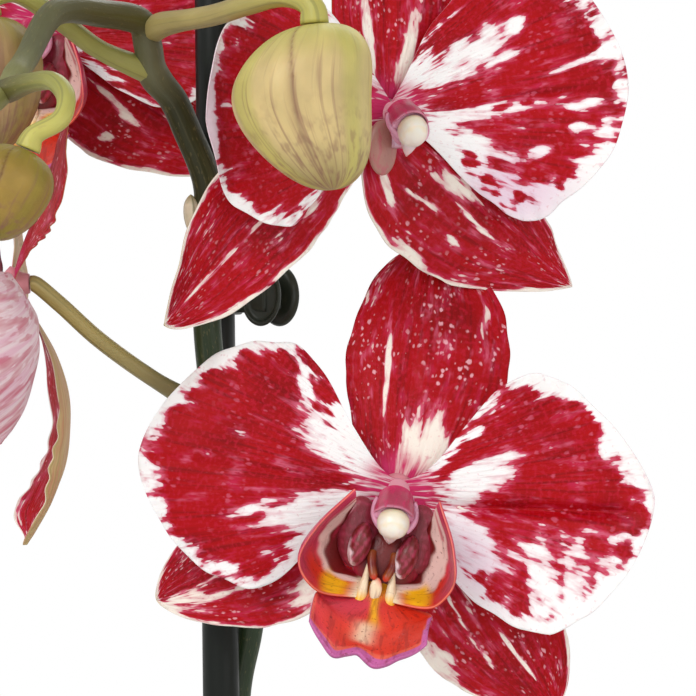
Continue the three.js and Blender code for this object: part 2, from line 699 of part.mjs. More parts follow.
function potSolid() {
  const inner = (z) => wallRadius(z) - POT_WALL;
  const profile = [
    [0, 0],
    [POT_FOOT_R - 1.5, 0],
    [POT_FOOT_R, 1.5],
    [wallRadius(POT_HEIGHT - 12) - 0.4, POT_HEIGHT - 12],
    [wallRadius(POT_HEIGHT - 11) + 1, POT_HEIGHT - 11],
    [POT_RIM_R + 1, POT_HEIGHT - 1.4],
    [POT_RIM_R - 0.6, POT_HEIGHT],
    [inner(POT_HEIGHT) + 1.2, POT_HEIGHT],
    [inner(POT_HEIGHT - 1.5), POT_HEIGHT - 1.5],
    [inner(POT_FLOOR + 5), POT_FLOOR + 5],
    [inner(POT_FLOOR) - 4, POT_FLOOR],
    [0, POT_FLOOR],
  ];
  return lathe(profile, 30);
}

function linerSolid() {
  const low = POT_FLOOR + GAP;
  const outer = (z) => wallRadius(z) - POT_WALL - LINER_GAP;
  const profile = [
    [0, low],
    [outer(low) - 6, low],
    [outer(low + 6), low + 6],
    [outer(LINER_TOP), LINER_TOP],
    [outer(LINER_TOP) - 1.8, LINER_TOP],
    [outer(LINER_TOP - 2) - LINER_WALL, LINER_TOP - 2],
    [outer(low + 6.6) - LINER_WALL, low + 6.6],
    [outer(low) - 6 - LINER_WALL, low + LINER_WALL],
    [0, low + LINER_WALL],
  ];
  const slot = (k) => {
    const angle = (2 * Math.PI * (k + 0.5)) / 6;
    return toSolid(new THREE.BoxGeometry(14, 4, 4).translate(20, 0, low + LINER_WALL / 2).rotateZ(angle));
  };
  const slots = [0, 1, 2, 3, 4, 5].map(slot);
  return lathe(profile, 24).subtract(fuse(...slots));
}

function barkSolid() {
  const low = POT_FLOOR + GAP + LINER_WALL + GAP;
  const edge = (z) => wallRadius(z) - POT_WALL - LINER_GAP - LINER_WALL - GAP - 0.6;
  const core = lathe([[0, low], [edge(low) - 7, low], [edge(low + 8) - 0.6, low + 8], [edge(BARK_TOP - 3) - 0.6, BARK_TOP - 3], [0, BARK_TOP - 3]], 22);
  const draw = seeded(20);
  const chips = [];
  const ring = (2 * Math.PI) / 1.618;
  for (let i = 0; i < CHIP_COUNT; i += 1) {
    const spread = Math.sqrt((i + 0.5) / CHIP_COUNT) * (edge(BARK_TOP) - 9);
    const box = new THREE.BoxGeometry(lerp(13, 21, draw()), lerp(9, 14, draw()), lerp(6, 9, draw()));
    box.rotateX(lerp(-0.5, 0.5, draw())).rotateY(lerp(-0.5, 0.5, draw())).rotateZ(draw() * Math.PI);
    chips.push(toSolid(box.translate(spread * Math.cos(i * ring), spread * Math.sin(i * ring), BARK_TOP - lerp(2.4, 4.4, draw()))));
  }
  const limit = lathe([[0, low], [edge(low) - 7, low], [edge(low + 8), low + 8], [edge(BARK_TOP + 8), BARK_TOP + 8], [0, BARK_TOP + 8]], 22);
  const holes = [stakeSolid(GAP), crownSolid(GAP), ...ROOTS.map((root) => rootSolid(root, GAP))];
  return oneBody(fuse(core, ...chips).intersect(limit).subtract(fuse(...holes)));
}

// Stake and clips

function stakeSolid(grow = 0) {
  const along = STAKE_TOP.clone().sub(STAKE_FOOT).normalize();
  const foot = STAKE_FOOT.clone().addScaledVector(along, -grow);
  const curve = new THREE.LineCurve3(foot, STAKE_TOP);
  const taper = () => STAKE_R + grow;
  return tube(curve, taper, 14, 1);
}

const stakeAt = (z) => STAKE_FOOT.clone().lerp(STAKE_TOP, (z - STAKE_FOOT.z) / (STAKE_TOP.z - STAKE_FOOT.z));
const spikeAt = (z) =>
  SPIKE.getSpacedPoints(600)
    .filter((p) => p.z < 506)
    .reduce((a, b) => (Math.abs(b.z - z) < Math.abs(a.z - z) ? b : a));

// A spring clip: a band round the stem and its stake, a pair of arms and two dished pads.
function clipSolid(z, heading) {
  const stake = stakeAt(z);
  const stem = spikeAt(z);
  const middle = stake.clone().add(stem).multiplyScalar(0.5).setZ(0);
  const apart = v3(stem.x - stake.x, stem.y - stake.y, 0);
  const long = apart.length() / 2 + STAKE_R + GAP + 0.6;
  const short = STAKE_R + GAP + 0.6;
  const outline = (extra) => {
    const shape = new THREE.Shape();
    shape.absellipse(0, 0, long + extra, short + extra, 0, 2 * Math.PI, false, 0);
    return shape;
  };
  const ringShape = outline(1.4);
  ringShape.holes.push(outline(0));
  const high = 5.6;
  const band = toSolid(new THREE.ExtrudeGeometry(ringShape, { depth: high, bevelEnabled: false, curveSegments: 5 }))
    .rotate([0, 0, THREE.MathUtils.radToDeg(Math.atan2(apart.y, apart.x))])
    .translate([middle.x, middle.y, z - high / 2]);
  const out = v3(Math.cos(radians(heading)), Math.sin(radians(heading)), 0);
  const side = v3(-out.y, out.x, 0);
  const pad = (flip) => {
    const dish = lathe([[0, -0.6], [4.4, -0.6], [5.4, 0.7], [4.7, 0.9], [3.9, 0.3], [0, 0.3]], 10);
    const basis = new THREE.Matrix4().makeBasis(out, v3(0, 0, 1), side.clone().multiplyScalar(flip));
    const stand = middle.clone().addScaledVector(out, 12.4).addScaledVector(side, flip * 2.9).setZ(z + 0.6);
    const placed = toGeometry(dish).applyMatrix4(new THREE.Matrix4().makeScale(0.76, 1.04, 1));
    const disc = toSolid(placed.applyMatrix4(basis.setPosition(stand)));
    const arm = toSolid(new THREE.BoxGeometry(10, 1.5, 5));
    const reach = middle.clone().addScaledVector(out, 8.4).addScaledVector(side, flip * 2.2).setZ(z);
    const placedArm = arm.rotate([0, 0, heading + flip * 8]).translate(reach.toArray());
    return fuse(disc, placedArm);
  };
  const hollow = fuse(
    tube(new THREE.LineCurve3(stakeAt(z - 8), stakeAt(z + 8)), () => STAKE_R + GAP, 14, 1),
    tube(throughPoints([z - 9, z - 4, z, z + 4, z + 9].map((h) => spikeAt(h).toArray())), () => SPIKE_R_FOOT + GAP, 10, 4),
  );
  return fuse(band, pad(1), pad(-1)).subtract(hollow);
}

// Assembly

const plant = new THREE.Group();
const blooms = {};
for (const [name, bloom] of Object.entries(BLOOMS)) {
  blooms[name] = bloomGroup(name, bloom);
  plant.add(blooms[name]);
}
const spike = spikeSolid(blooms);
plant.add(named("flower_spike", spike, "spike"));
for (const [name, bud] of Object.entries(BUDS)) plant.add(named(`bud_${name}`, budSolid(bud), "bud"));

const spikePocket = tube(SPIKE, (u) => spikeRadius(u) + GAP, 8, SPIKE_STEPS);
const crown = crownSolid().subtract(spikePocket);
plant.add(named("crown", crown, "crown"));
LEAVES.forEach((leaf, i) => plant.add(named(`leaf_${i + 1}`, leafSolid(leaf), "leaf")));

const crownRoom = crownSolid(GAP);
ROOTS.forEach((root, i) => plant.add(named(`aerial_root_${i + 1}`, rootSolid(root).subtract(crownRoom), "root")));
plant.add(named("stake", stakeSolid(), "stake"));
plant.add(named("clip_upper", clipSolid(469, -28), "clip"));
plant.add(named("clip_lower", clipSolid(318, -20), "clip"));
plant.add(named("bark_mix", barkSolid(), "bark"));
plant.add(named("liner_pot", linerSolid(), "linerPlastic"));
plant.add(named("cover_pot", potSolid(), "glaze"));

export default plant;
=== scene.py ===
"""A moth orchid in a pot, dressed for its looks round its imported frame.

Every living surface is worked out as whole numpy arrays in millimetres: a tepal is a function
of its length and breadth, a stalk is a ring carried along a path, a pot is a profile turned
round its axis. Colour is worked out on the same grids and broken up by procedural noise, so
that the splashes, streaks and freckles follow the veins.
"""

import logging
from collections.abc import Callable, Sequence
from dataclasses import dataclass, field, replace
from enum import Enum

import bpy
import numpy as np
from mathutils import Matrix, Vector


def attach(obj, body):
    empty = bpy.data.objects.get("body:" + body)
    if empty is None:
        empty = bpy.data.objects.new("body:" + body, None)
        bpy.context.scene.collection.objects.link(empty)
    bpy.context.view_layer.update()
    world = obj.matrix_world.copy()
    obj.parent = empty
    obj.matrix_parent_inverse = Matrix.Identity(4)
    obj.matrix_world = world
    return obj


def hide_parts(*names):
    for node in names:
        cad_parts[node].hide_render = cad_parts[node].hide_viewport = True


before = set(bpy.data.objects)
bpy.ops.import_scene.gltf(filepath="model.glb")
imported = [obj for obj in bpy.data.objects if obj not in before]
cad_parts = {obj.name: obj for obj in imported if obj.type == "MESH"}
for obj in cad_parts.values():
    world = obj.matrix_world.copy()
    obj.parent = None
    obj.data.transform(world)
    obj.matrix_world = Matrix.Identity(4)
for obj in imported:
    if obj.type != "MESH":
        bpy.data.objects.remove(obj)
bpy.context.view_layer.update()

MM = 0.001
LOG = logging.getLogger("orchid")
Array = np.ndarray
Point = tuple[float, float, float]
Pair = tuple[float, float]
Marks = dict[str, Array]
Tree = bpy.types.NodeTree
Node = bpy.types.Node
UP = np.array([0, 0, 1.0])
AXIS = 0.02  # mm, where a turned profile starts, so that no point lies on its axis


class Shade(Enum):
    """The plant's colours, as sRGB hex values."""

    CRIMSON = "a8040e"
    BLOOD = "74070c"
    CERISE = "bc2248"
    CARMINE = "b4162e"
    MAGENTA = "c62e62"
    WING = "dc9cb6"
    SPECK = "e6a8b2"
    PINK = "d2647e"
    WHITE = "f3f0ef"
    IVORY = "f0e6da"
    LILAC = "e2c2d6"
    CREAM = "efe0c4"
    TAN = "c4a878"
    BLUSH_BACK = "e9d3d8"
    MAROON = "6e1414"
    ORANGE_RED = "d4321c"
    ROSE = "c63a5c"
    SALMON = "e8745a"
    RUST = "94481c"
    PETAL_CREAM = "ecd6b4"
    BLUSH = "e0bcb4"
    YELLOW = "f5b414"
    VIOLET = "c0609c"
    CAP = "efe9dc"
    HOOD = "b03c5a"
    BUD_GREEN = "bcb45c"
    BUD_TAN = "ccb47c"
    BUD_BROWN = "80544a"
    STALK_GREEN = "9c9a52"
    STALK_TAN = "a4945c"
    STEM_OLIVE = "626245"
    STEM_GREEN = "223518"
    STEM_DARK = "2b2d11"
    STEM_BROWN = "4a441c"
    SHEATH = "8a9150"
    LEAF = "24491f"
    LEAF_PALE = "4f7338"
    LEAF_BACK = "5d6d3c"
    ROOT = "aeb5a2"
    ROOT_TIP = "6f9440"
    BARK = "6a4028"
    BARK_DARK = "2c1a10"
    BARK_PALE = "a4754c"
    GLAZE = "f1efe9"
    LINER = "a3aba3"
    STAKE = "090f0a"
    CLIP = "262b22"
    FLOOR = "f2f1ef"

    def linear(self) -> tuple[float, float, float, float]:
        """The colour in linear light."""
        return linear(self.value)


def linear(code: str) -> tuple[float, float, float, float]:
    """Turns an sRGB hex value to linear light.

    Args:
        code: six hex digits.

    Returns:
        Red, green, blue and an opaque alpha.
    """
    parts = np.array([int(code[i : i + 2], 16) for i in (0, 2, 4)]) / 255.0
    light = np.where(parts <= 0.04045, parts / 12.92, ((parts + 0.055) / 1.055) ** 2.4)
    return (*light.tolist(), 1.0)


def smooth(x: Array, low: float, high: float) -> Array:
    """A soft step from 0 at low to 1 at high: 3x^2 - 2x^3 of the clipped share."""
    share = np.clip((np.asarray(x, float) - low) / (high - low), 0.0, 1.0)
    return share * share * (3.0 - 2.0 * share)


def mix(a: Array, b: Array, weight: Array) -> Array:
    """The value between a and b at a weight from 0 to 1."""
    return a + (b - a) * weight


def unit(vectors: Array) -> Array:
    """The vectors at length one."""
    return vectors / np.maximum(np.linalg.norm(vectors, axis=-1, keepdims=True), 1e-12)


def spline(points: Sequence[Sequence[float]], t: Array) -> Array:
    """A centripetal Catmull-Rom curve through points.

    Each span is a cubic whose end slopes come from its neighbours, weighted by the square
    roots of the distances between them.

    Args:
        points: what it passes through.
        t: shares of the run of points, from 0 to 1.

    Returns:
        One point for each share.
    """
    given = np.asarray(points, float)
    padded = np.vstack([2 * given[0] - given[1], given, 2 * given[-1] - given[-2]])
    spans = len(given) - 1
    run = np.clip(np.asarray(t, float), 0.0, 1.0) * spans
    index = np.minimum(run.astype(int), spans - 1)
    w = (run - index)[..., None]
    a, b, c, d = (padded[index + k] for k in range(4))
    near, here, far = (
        np.maximum(np.linalg.norm(q - p, axis=-1, keepdims=True), 1e-8) ** 0.5
        for p, q in ((a, b), (b, c), (c, d))
    )
    start = ((b - a) / near - (c - a) / (near + here) + (c - b) / here) * here
    end = ((c - b) / here - (d - b) / (here + far) + (d - c) / far) * here
    return b + start * w + (3 * (c - b) - 2 * start - end) * w**2 + (2 * (b - c) + start + end) * w**3


def walked(path: Array) -> Array:
    """How far along a path each of its points lies."""
    return np.concatenate([[0.0], np.cumsum(np.linalg.norm(np.diff(path, axis=0), axis=1))])


def evenly(points: Sequence[Sequence[float]], count: int) -> Array:
    """A curve's points at even distances along it.

    Args:
        points: what it passes through.
        count: how many points to give.

    Returns:
        The points, an array of count rows.
    """
    t = np.linspace(0, 1, 1500)
    run = walked(spline(points, t))
    return spline(points, np.interp(np.linspace(0, run[-1], count), run, t))


def eased(steps: int) -> Array:
    """Shares from 0 to 1 that lie closer together at both ends: half of 1 - cos of a half turn."""
    return (1 - np.cos(np.pi * np.arange(steps + 1) / steps)) / 2


def around(sides: int) -> Array:
    """Even angles round a full turn, in radians."""
    return np.linspace(0, 2 * np.pi, sides, endpoint=False)


def bell(x: Array, at: float, wide: float) -> Array:
    """A bell of height 1: e to the power of minus the squared distance from at, in widths."""
    return np.exp(-(((x - at) / wide) ** 2))


def turning(axis: str, degrees: float) -> Array:
    """The matrix that turns about an axis.

    Args:
        axis: x or z.
        degrees: how far, anticlockwise.

    Returns:
        Three rows of three.
    """
    c, s = np.cos(np.radians(degrees)), np.sin(np.radians(degrees))
    if axis == "x":
        return np.array([[1, 0, 0], [0, c, -s], [0, s, c]])
    return np.array([[c, -s, 0], [s, c, 0], [0, 0, 1]])


def compass(degrees: float) -> tuple[Array, Array]:
    """Two level directions.

    Args:
        degrees: the first one's turn from X, anticlockwise.

    Returns:
        That direction and the one to its left.
    """
    c, s = np.cos(np.radians(degrees)), np.sin(np.radians(degrees))
    return np.array([c, s, 0.0]), np.array([-s, c, 0.0])


def squared(x: Array, power: float) -> Array:
    """Pushes a round shape towards a box: a power of the size, its sign kept."""
    return np.sign(x) * np.abs(x) ** power


def stand(name: str, data: bpy.types.ID) -> bpy.types.Object:
    """Puts data into the scene as an object.

    Args:
        name: the object's name.
        data: its mesh, lamp or camera.

    Returns:
        The object, at the origin.
    """
    made = bpy.data.objects.new(name, data)
    bpy.context.scene.collection.objects.link(made)
    return made


def lattice(rows: int, columns: int) -> tuple[Array, Array]:
    """A grid of shares: t from 0 to 1, closer together at its ends, and s from -1 to 1.

    Args:
        rows: steps of t.
        columns: steps of s.

    Returns:
        The grids of t and of s.
    """
    t, s = np.meshgrid(eased(rows), np.linspace(-1, 1, columns + 1), indexing="ij")
    return t, s


def ripple(x: Array, y: Array, seed: float) -> Array:
    """Gentle uneven waves between about -1 and 1: a sum of sines across and along.

    Args:
        x: millimetres one way.
        y: millimetres the other way.
        seed: shifts the waves.

    Returns:
        Grid of heights.
    """
    first = np.sin(0.31 * x + 1.7 * seed) * np.cos(0.27 * y + 0.9 * seed)
    second = np.sin(0.53 * x - 0.41 * y + 2.3 * seed) + 0.6 * np.sin(0.83 * y + 0.37 * x + seed)
    return 0.5 * first + 0.35 * second


@dataclass
class Mould:
    """Gathers closed shells as arrays, in millimetres, and casts them as one mesh."""

    points: list[Array] = field(default_factory=list)
    quads: list[Array] = field(default_factory=list)
    corners: list[Array] = field(default_factory=list)
    marks: list[Marks] = field(default_factory=list)
    count: int = 0

    def shell(self, points: Array, quads: Array, corners: Array, marks: Marks) -> None:
        """Adds one closed shell, its faces turned outwards by the sign of its volume.

        Args:
            points: its vertices.
            quads: its four sided faces.
            corners: its three sided faces.
            marks: what its vertices carry, by name.
        """
        if len(quads):
            split = np.vstack([quads[:, [0, 1, 2]], quads[:, [0, 2, 3]], corners.reshape(-1, 3)])
        else:
            split = corners
        a, b, c = (points[split[:, k]] - points.mean(0) for k in range(3))
        if np.einsum("ij,ij->i", a, np.cross(b, c)).sum() < 0:
            quads, corners = quads[:, ::-1], corners[:, ::-1]
        self.points.append(points)
        self.quads.append(quads + self.count)
        self.corners.append(corners + self.count)
        self.marks.append({name: np.broadcast_to(mark, (len(points), 3)) for name, mark in marks.items()})
        self.count += len(points)

    def blade(
        self, middle: Array, half: Array, marks: Marks, behind: Marks | None = None, flip: float = 1.0
    ) -> None:
        """Adds a thin closed blade round a middle surface.

        The front lies at middle + normal * half and the back at middle - normal * half, and a
        strip joins their rims.

        Args:
            middle: grid of points.
            half: half the thickness, one number or a grid.
            marks: what the front's points carry, as grids or as one value.
            behind: the marks that differ on the back.
            flip: -1 turns front and back round.
        """
        rows, columns = middle.shape[:2]
        normal = unit(np.cross(np.gradient(middle, axis=0), np.gradient(middle, axis=1)))
        reach = flip * normal * np.broadcast_to(half, (rows, columns))[..., None]
        at = np.arange(rows * columns).reshape(rows, columns)
        face = np.stack([at[:-1, :-1], at[1:, :-1], at[1:, 1:], at[:-1, 1:]], -1).reshape(-1, 4)
        rim = np.concatenate([at[:-1, 0], at[-1, :-1], at[:0:-1, -1], at[0, :0:-1]])
        after = np.roll(rim, -1)
        strip = np.stack([rim + at.size, after + at.size, after, rim], -1)
        points = np.concatenate([middle + reach, middle - reach]).reshape(-1, 3)
        both = {}
        for name, mark in marks.items():
            sides = (mark, (behind or {}).get(name, mark))
            grids = [np.broadcast_to(side, middle.shape) for side in sides]
            both[name] = np.concatenate(grids).reshape(-1, 3)
        quads = np.vstack([face, face[:, ::-1] + at.size, strip])
        self.shell(points, quads, np.zeros((0, 3), int), both)

    def skin(self, rings: Array, marks: Marks | None = None) -> None:
        """Adds a closed skin over rings of points, its ends closed by fans.

        Args:
            rings: grid of points, ring by ring.
            marks: what the points carry, as grids or as one value.
        """
        count, sides = rings.shape[:2]
        at = np.arange(count * sides).reshape(count, sides)
        turn = np.roll(at, -1, axis=1)
        quads = np.stack([at[:-1], turn[:-1], turn[1:], at[1:]], -1).reshape(-1, 4)
        foot = np.stack([np.full(sides, at.size), turn[0], at[0]], -1)
        head = np.stack([np.full(sides, at.size + 1), at[-1], turn[-1]], -1)
        points = np.vstack([rings.reshape(-1, 3), rings[0].mean(0), rings[-1].mean(0)])
        grown = {}
        for name, mark in (marks or {}).items():
            grid = np.broadcast_to(mark, rings.shape)
            grown[name] = np.vstack([grid.reshape(-1, 3), grid[0].mean(0), grid[-1].mean(0)])
        self.shell(points, quads, np.vstack([foot, head]), grown)

    def flesh(self, rings: Array, coat: Array, tint: tuple[float, float], fan: Array | None = None) -> None:
        """Adds a closed skin of plant tissue.

        Args:
            rings: grid of points, ring by ring.
            coat: its linear colour, a grid or one.
            tint: how strong its streaks and its freckles are.
            fan: where they lie, mm; in space, unless a grid is given.
        """
        self.skin(rings, {"coat": coat, "fan": rings if fan is None else fan, "tint": (*tint, 0)})

    def hoop(self, rings: Array) -> None:
        """Adds a skin over rings that close on themselves.

        Args:
            rings: grid of points, ring by ring.
        """
        at = np.arange(rings.shape[0] * rings.shape[1]).reshape(rings.shape[:2])
        onward, beside = np.roll(at, -1, 0), np.roll(at, -1, 1)
        quads = np.stack([at, beside, np.roll(beside, -1, 0), onward], -1).reshape(-1, 4)
        self.shell(rings.reshape(-1, 3), quads, np.zeros((0, 3), int), {})

    def turned(self, matrix: Array, place: Sequence[float]) -> None:
        """Turns what has been gathered and moves it to its place.

        Args:
            matrix: the turn.
            place: the move, mm.
        """
        self.points = [points @ matrix.T + place for points in self.points]

    def cast(self, name: str, finish: bpy.types.Material, slot: str, *nodes: str) -> bpy.types.Object:
        """Makes the mesh and its object, which stands for nodes of the frame.

        Args:
            name: the piece's name.
            finish: its material.
            slot: a name for the kind of its finish; not used.
            nodes: the frame's nodes that it stands for.

        Returns:
            The object, at the origin.
        """
        quads, corners = np.vstack(self.quads), np.vstack(self.corners)
        mesh = bpy.data.meshes.new(name)
        mesh.vertices.add(self.count)
        mesh.vertices.foreach_set("co", (np.vstack(self.points) * MM).ravel())
        mesh.loops.add(quads.size + corners.size)
        mesh.loops.foreach_set("vertex_index", np.concatenate([quads.ravel(), corners.ravel()]))
        mesh.polygons.add(len(quads) + len(corners))
        starts = np.concatenate([np.arange(len(quads)) * 4, quads.size + np.arange(len(corners)) * 3])
        mesh.polygons.foreach_set("loop_start", starts)
        mesh.polygons.foreach_set("use_smooth", np.ones(len(starts), bool))
        mesh.update(calc_edges=True)
        for mark in self.marks[0]:
            layer = mesh.attributes.new(mark, "FLOAT_VECTOR", "POINT")
            layer.data.foreach_set("vector", np.vstack([marks[mark] for marks in self.marks]).ravel())
        mesh.materials.append(finish)
        piece = stand(name, mesh)
        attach(piece, "root")
        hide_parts(*nodes)
        LOG.info("%s: %d faces for %s", name, len(starts), ", ".join(nodes))
        return piece


def frames(centres: Array) -> tuple[Array, Array]:
    """Two directions square to a path, steady along it.

    The reference is the direction that the path's headings use least, so no heading is ever
    parallel to it.

    Args:
        centres: the path's points.

    Returns:
        The sideways and upward directions at each point.
    """
    heading = unit(np.gradient(centres, axis=0))
    reference = np.linalg.svd(heading)[2][-1]
    side = unit(np.cross(heading, reference))
    return side, np.cross(heading, side)


def tube(centres: Array, radius: Array, sides: int) -> Array:
    """Rings of a round tube along a path.

    Args:
        centres: the path's points.
        radius: one number, one a ring, or a grid of ring by side.
        sides: points in each ring.

    Returns:
        The grid of points, ring by ring.
    """
    side, up = frames(centres)
    angle = around(sides)[:, None]
    reach = np.asarray(radius, float)
    if reach.ndim < 2:
        reach = reach.reshape(-1, 1)
    return centres[:, None] + (side[:, None] * np.cos(angle) + up[:, None] * np.sin(angle)) * reach[..., None]


def lathe(profile: Sequence[Sequence[float]], sides: int, centre: Sequence[float] = (0.0, 0.0)) -> Array:
    """Rings of a profile turned round an upright axis.

    Args:
        profile: radii and heights.
        sides: points in each ring.
        centre: where the axis stands.

    Returns:
        The grid of points, ring by ring.
    """
    outline = np.asarray(profile, float)[:, None]
    x, y = (turn(around(sides)) * outline[..., 0] + at for turn, at in zip((np.cos, np.sin), centre))
    return np.stack([x, y, np.broadcast_to(outline[..., 1], x.shape)], -1)


def ball(radii: Sequence[float], centre: Sequence[float], sides: int) -> Array:
    """Rings of a ball.

    Args:
        radii: along X, Y and Z.
        centre: its middle.
        sides: points in each ring.

    Returns:
        The grid of points, ring by ring.
    """
    turn = np.linspace(0.05, np.pi - 0.05, sides // 2 + 4)
    return lathe(np.stack([np.sin(turn), -np.cos(turn)], -1), sides) * radii + centre


def domed(u: Array, start: float = 0.8) -> Array:
    """A factor that rounds off the end of a tube past a share of its length."""
    return np.sqrt(np.clip(1 - (np.clip(u - start, 0, 1) / (1.004 - start)) ** 2, 0.002, 1))


def along_skin(rings: Array, seed: float) -> Array:
    """Surface coordinates in millimetres: two round the girth, one along the length.

    Args:
        rings: grid of points, ring by ring.
        seed: shifts the pattern along.

    Returns:
        Grid of coordinates.
    """
    middle = rings.mean(1)
    girth = np.linalg.norm(rings - middle[:, None], axis=-1).mean()
    turn = around(rings.shape[1])
    along = walked(middle)[:, None] + seed * 97.0
    return np.stack(np.broadcast_arrays(np.cos(turn) * girth, along, np.sin(turn) * girth), -1)


def painted(*stops: tuple[float, Shade], at: Array) -> Array:
    """Colour along a share, blended between stops and even beyond them.

    Args:
        stops: share and colour, in order.
        at: grid of shares.

    Returns:
        Grid of linear colours.
    """
    places = [place for place, _ in stops]
    parts = np.array([shade.linear()[:3] for _, shade in stops])
    return np.stack([np.interp(at, places, parts[:, k]) for k in range(3)], -1)


def tone(coat: Array | Shade) -> Array:
    """A shade in linear light as an array; a grid of colours stays as it is."""
    return np.array(coat.linear()[:3]) if isinstance(coat, Shade) else coat


def coated(base: Array | Shade, *layers: tuple[Array, Array | Shade]) -> Array:
    """Lays colours over a base.

    Args:
        base: a grid of linear colours or a shade.
        layers: for each, a grid of weights, and a grid of colours or a shade.

    Returns:
        Grid of linear colours.
    """
    coat = tone(base)
    for weight, above in layers:
        coat = mix(coat, tone(above), weight[..., None])
    return coat


def add_node(tree: Tree, kind: str, inputs: dict | None = None, **settings: object) -> Node:
    """Adds a shader node with its settings and its links.

    Args:
        tree: the material's nodes.
        kind: the node's type, without its prefix.
        inputs: by name or place, a value, a shade, a socket, or a node whose first output is used.
        settings: the node's own properties.

    Returns:
        The node.
    """
    made = tree.nodes.new(f"ShaderNode{kind}")
    for name, value in settings.items():
        setattr(made, name, value)
    for key, value in (inputs or {}).items():
        named = [s for s in made.inputs if s.enabled and s.name == key]
        socket = made.inputs[key] if isinstance(key, int) else named[0]
        if isinstance(value, Node):
            value = next(s for s in value.outputs if s.enabled)
        if isinstance(value, bpy.types.NodeSocket):
            tree.links.new(value, socket)
        else:
            socket.default_value = value.linear() if isinstance(value, Shade) else value
    return made


def maths(tree: Tree, operation: str, *values: object, clamp: bool = False) -> Node:
    """Adds a sum of numbers, such as MULTIPLY, held from 0 to 1 where it is clamped."""
    return add_node(tree, "Math", dict(enumerate(values)), operation=operation, use_clamp=clamp)


def ramp(
    tree: Tree, value: object, low: float, high: float,
    most: float = 1.0, least: float = 0.0, soft: bool = True,
) -> Node:
    """Adds a ramp over a value.

    Args:
        tree: the material's nodes.
        value: what it reads.
        low: where it starts.
        high: where it ends.
        most: what it gives from high on.
        least: what it gives up to low.
        soft: whether both ends are eased.

    Returns:
        The node.
    """
    ends = {"Value": value, "From Min": low, "From Max": high, "To Min": least, "To Max": most}
    return add_node(tree, "MapRange", ends, interpolation_type="SMOOTHSTEP" if soft else "LINEAR")


def layered(tree: Tree, base: object, *layers: tuple[object, object]) -> object:
    """Adds blends that lay colours over a base.

    Args:
        tree: the material's nodes.
        base: the lowest colour.
        layers: weight and colour of each layer.

    Returns:
        The last blend.
    """
    for weight, above in layers:
        base = add_node(tree, "Mix", {"Factor": weight, "A": base, "B": above}, data_type="RGBA")
    return base


def cloud(tree: Tree, place: object, scale: Sequence[float], detail: float) -> Node:
    """Adds cloudy noise over coordinates that a scale multiplies."""
    spread = add_node(tree, "VectorMath", {0: place, 1: scale}, operation="MULTIPLY")
    return add_node(tree, "TexNoise", {"Vector": spread, "Scale": 1.0, "Detail": detail})


def carried(tree: Tree, name: str, output: str = "Vector") -> bpy.types.NodeSocket:
    """Adds a reader of what the surface's points carry under a name."""
    return add_node(tree, "Attribute", attribute_name=name).outputs[output]


def parted(tree: Tree, vector: object) -> bpy.types.NodeOutputs:
    """Adds a node that parts a vector into X, Y and Z."""
    return add_node(tree, "SeparateXYZ", {"Vector": vector}).outputs


def bump(tree: Tree, height: Node, relief: float, strength: float = 0.5) -> Node:
    """Adds relief, in mm, that follows a height from 0 to 1."""
    return add_node(tree, "Bump", {"Strength": strength, "Distance": relief * MM, "Height": height})


def cover(tree: Tree, inputs: dict) -> None:
    """Adds the surface that light meets, and the material's output."""
    add_node(tree, "OutputMaterial", {"Surface": add_node(tree, "BsdfPrincipled", inputs)})


def new_material(name: str) -> tuple[bpy.types.Material, Tree]:
    """Makes an empty material.

    Args:
        name: what the real one is.

    Returns:
        The material and its nodes.
    """
    material = bpy.data.materials.new(name)
    material.use_nodes = True
    material.node_tree.nodes.clear()
    return material, material.node_tree


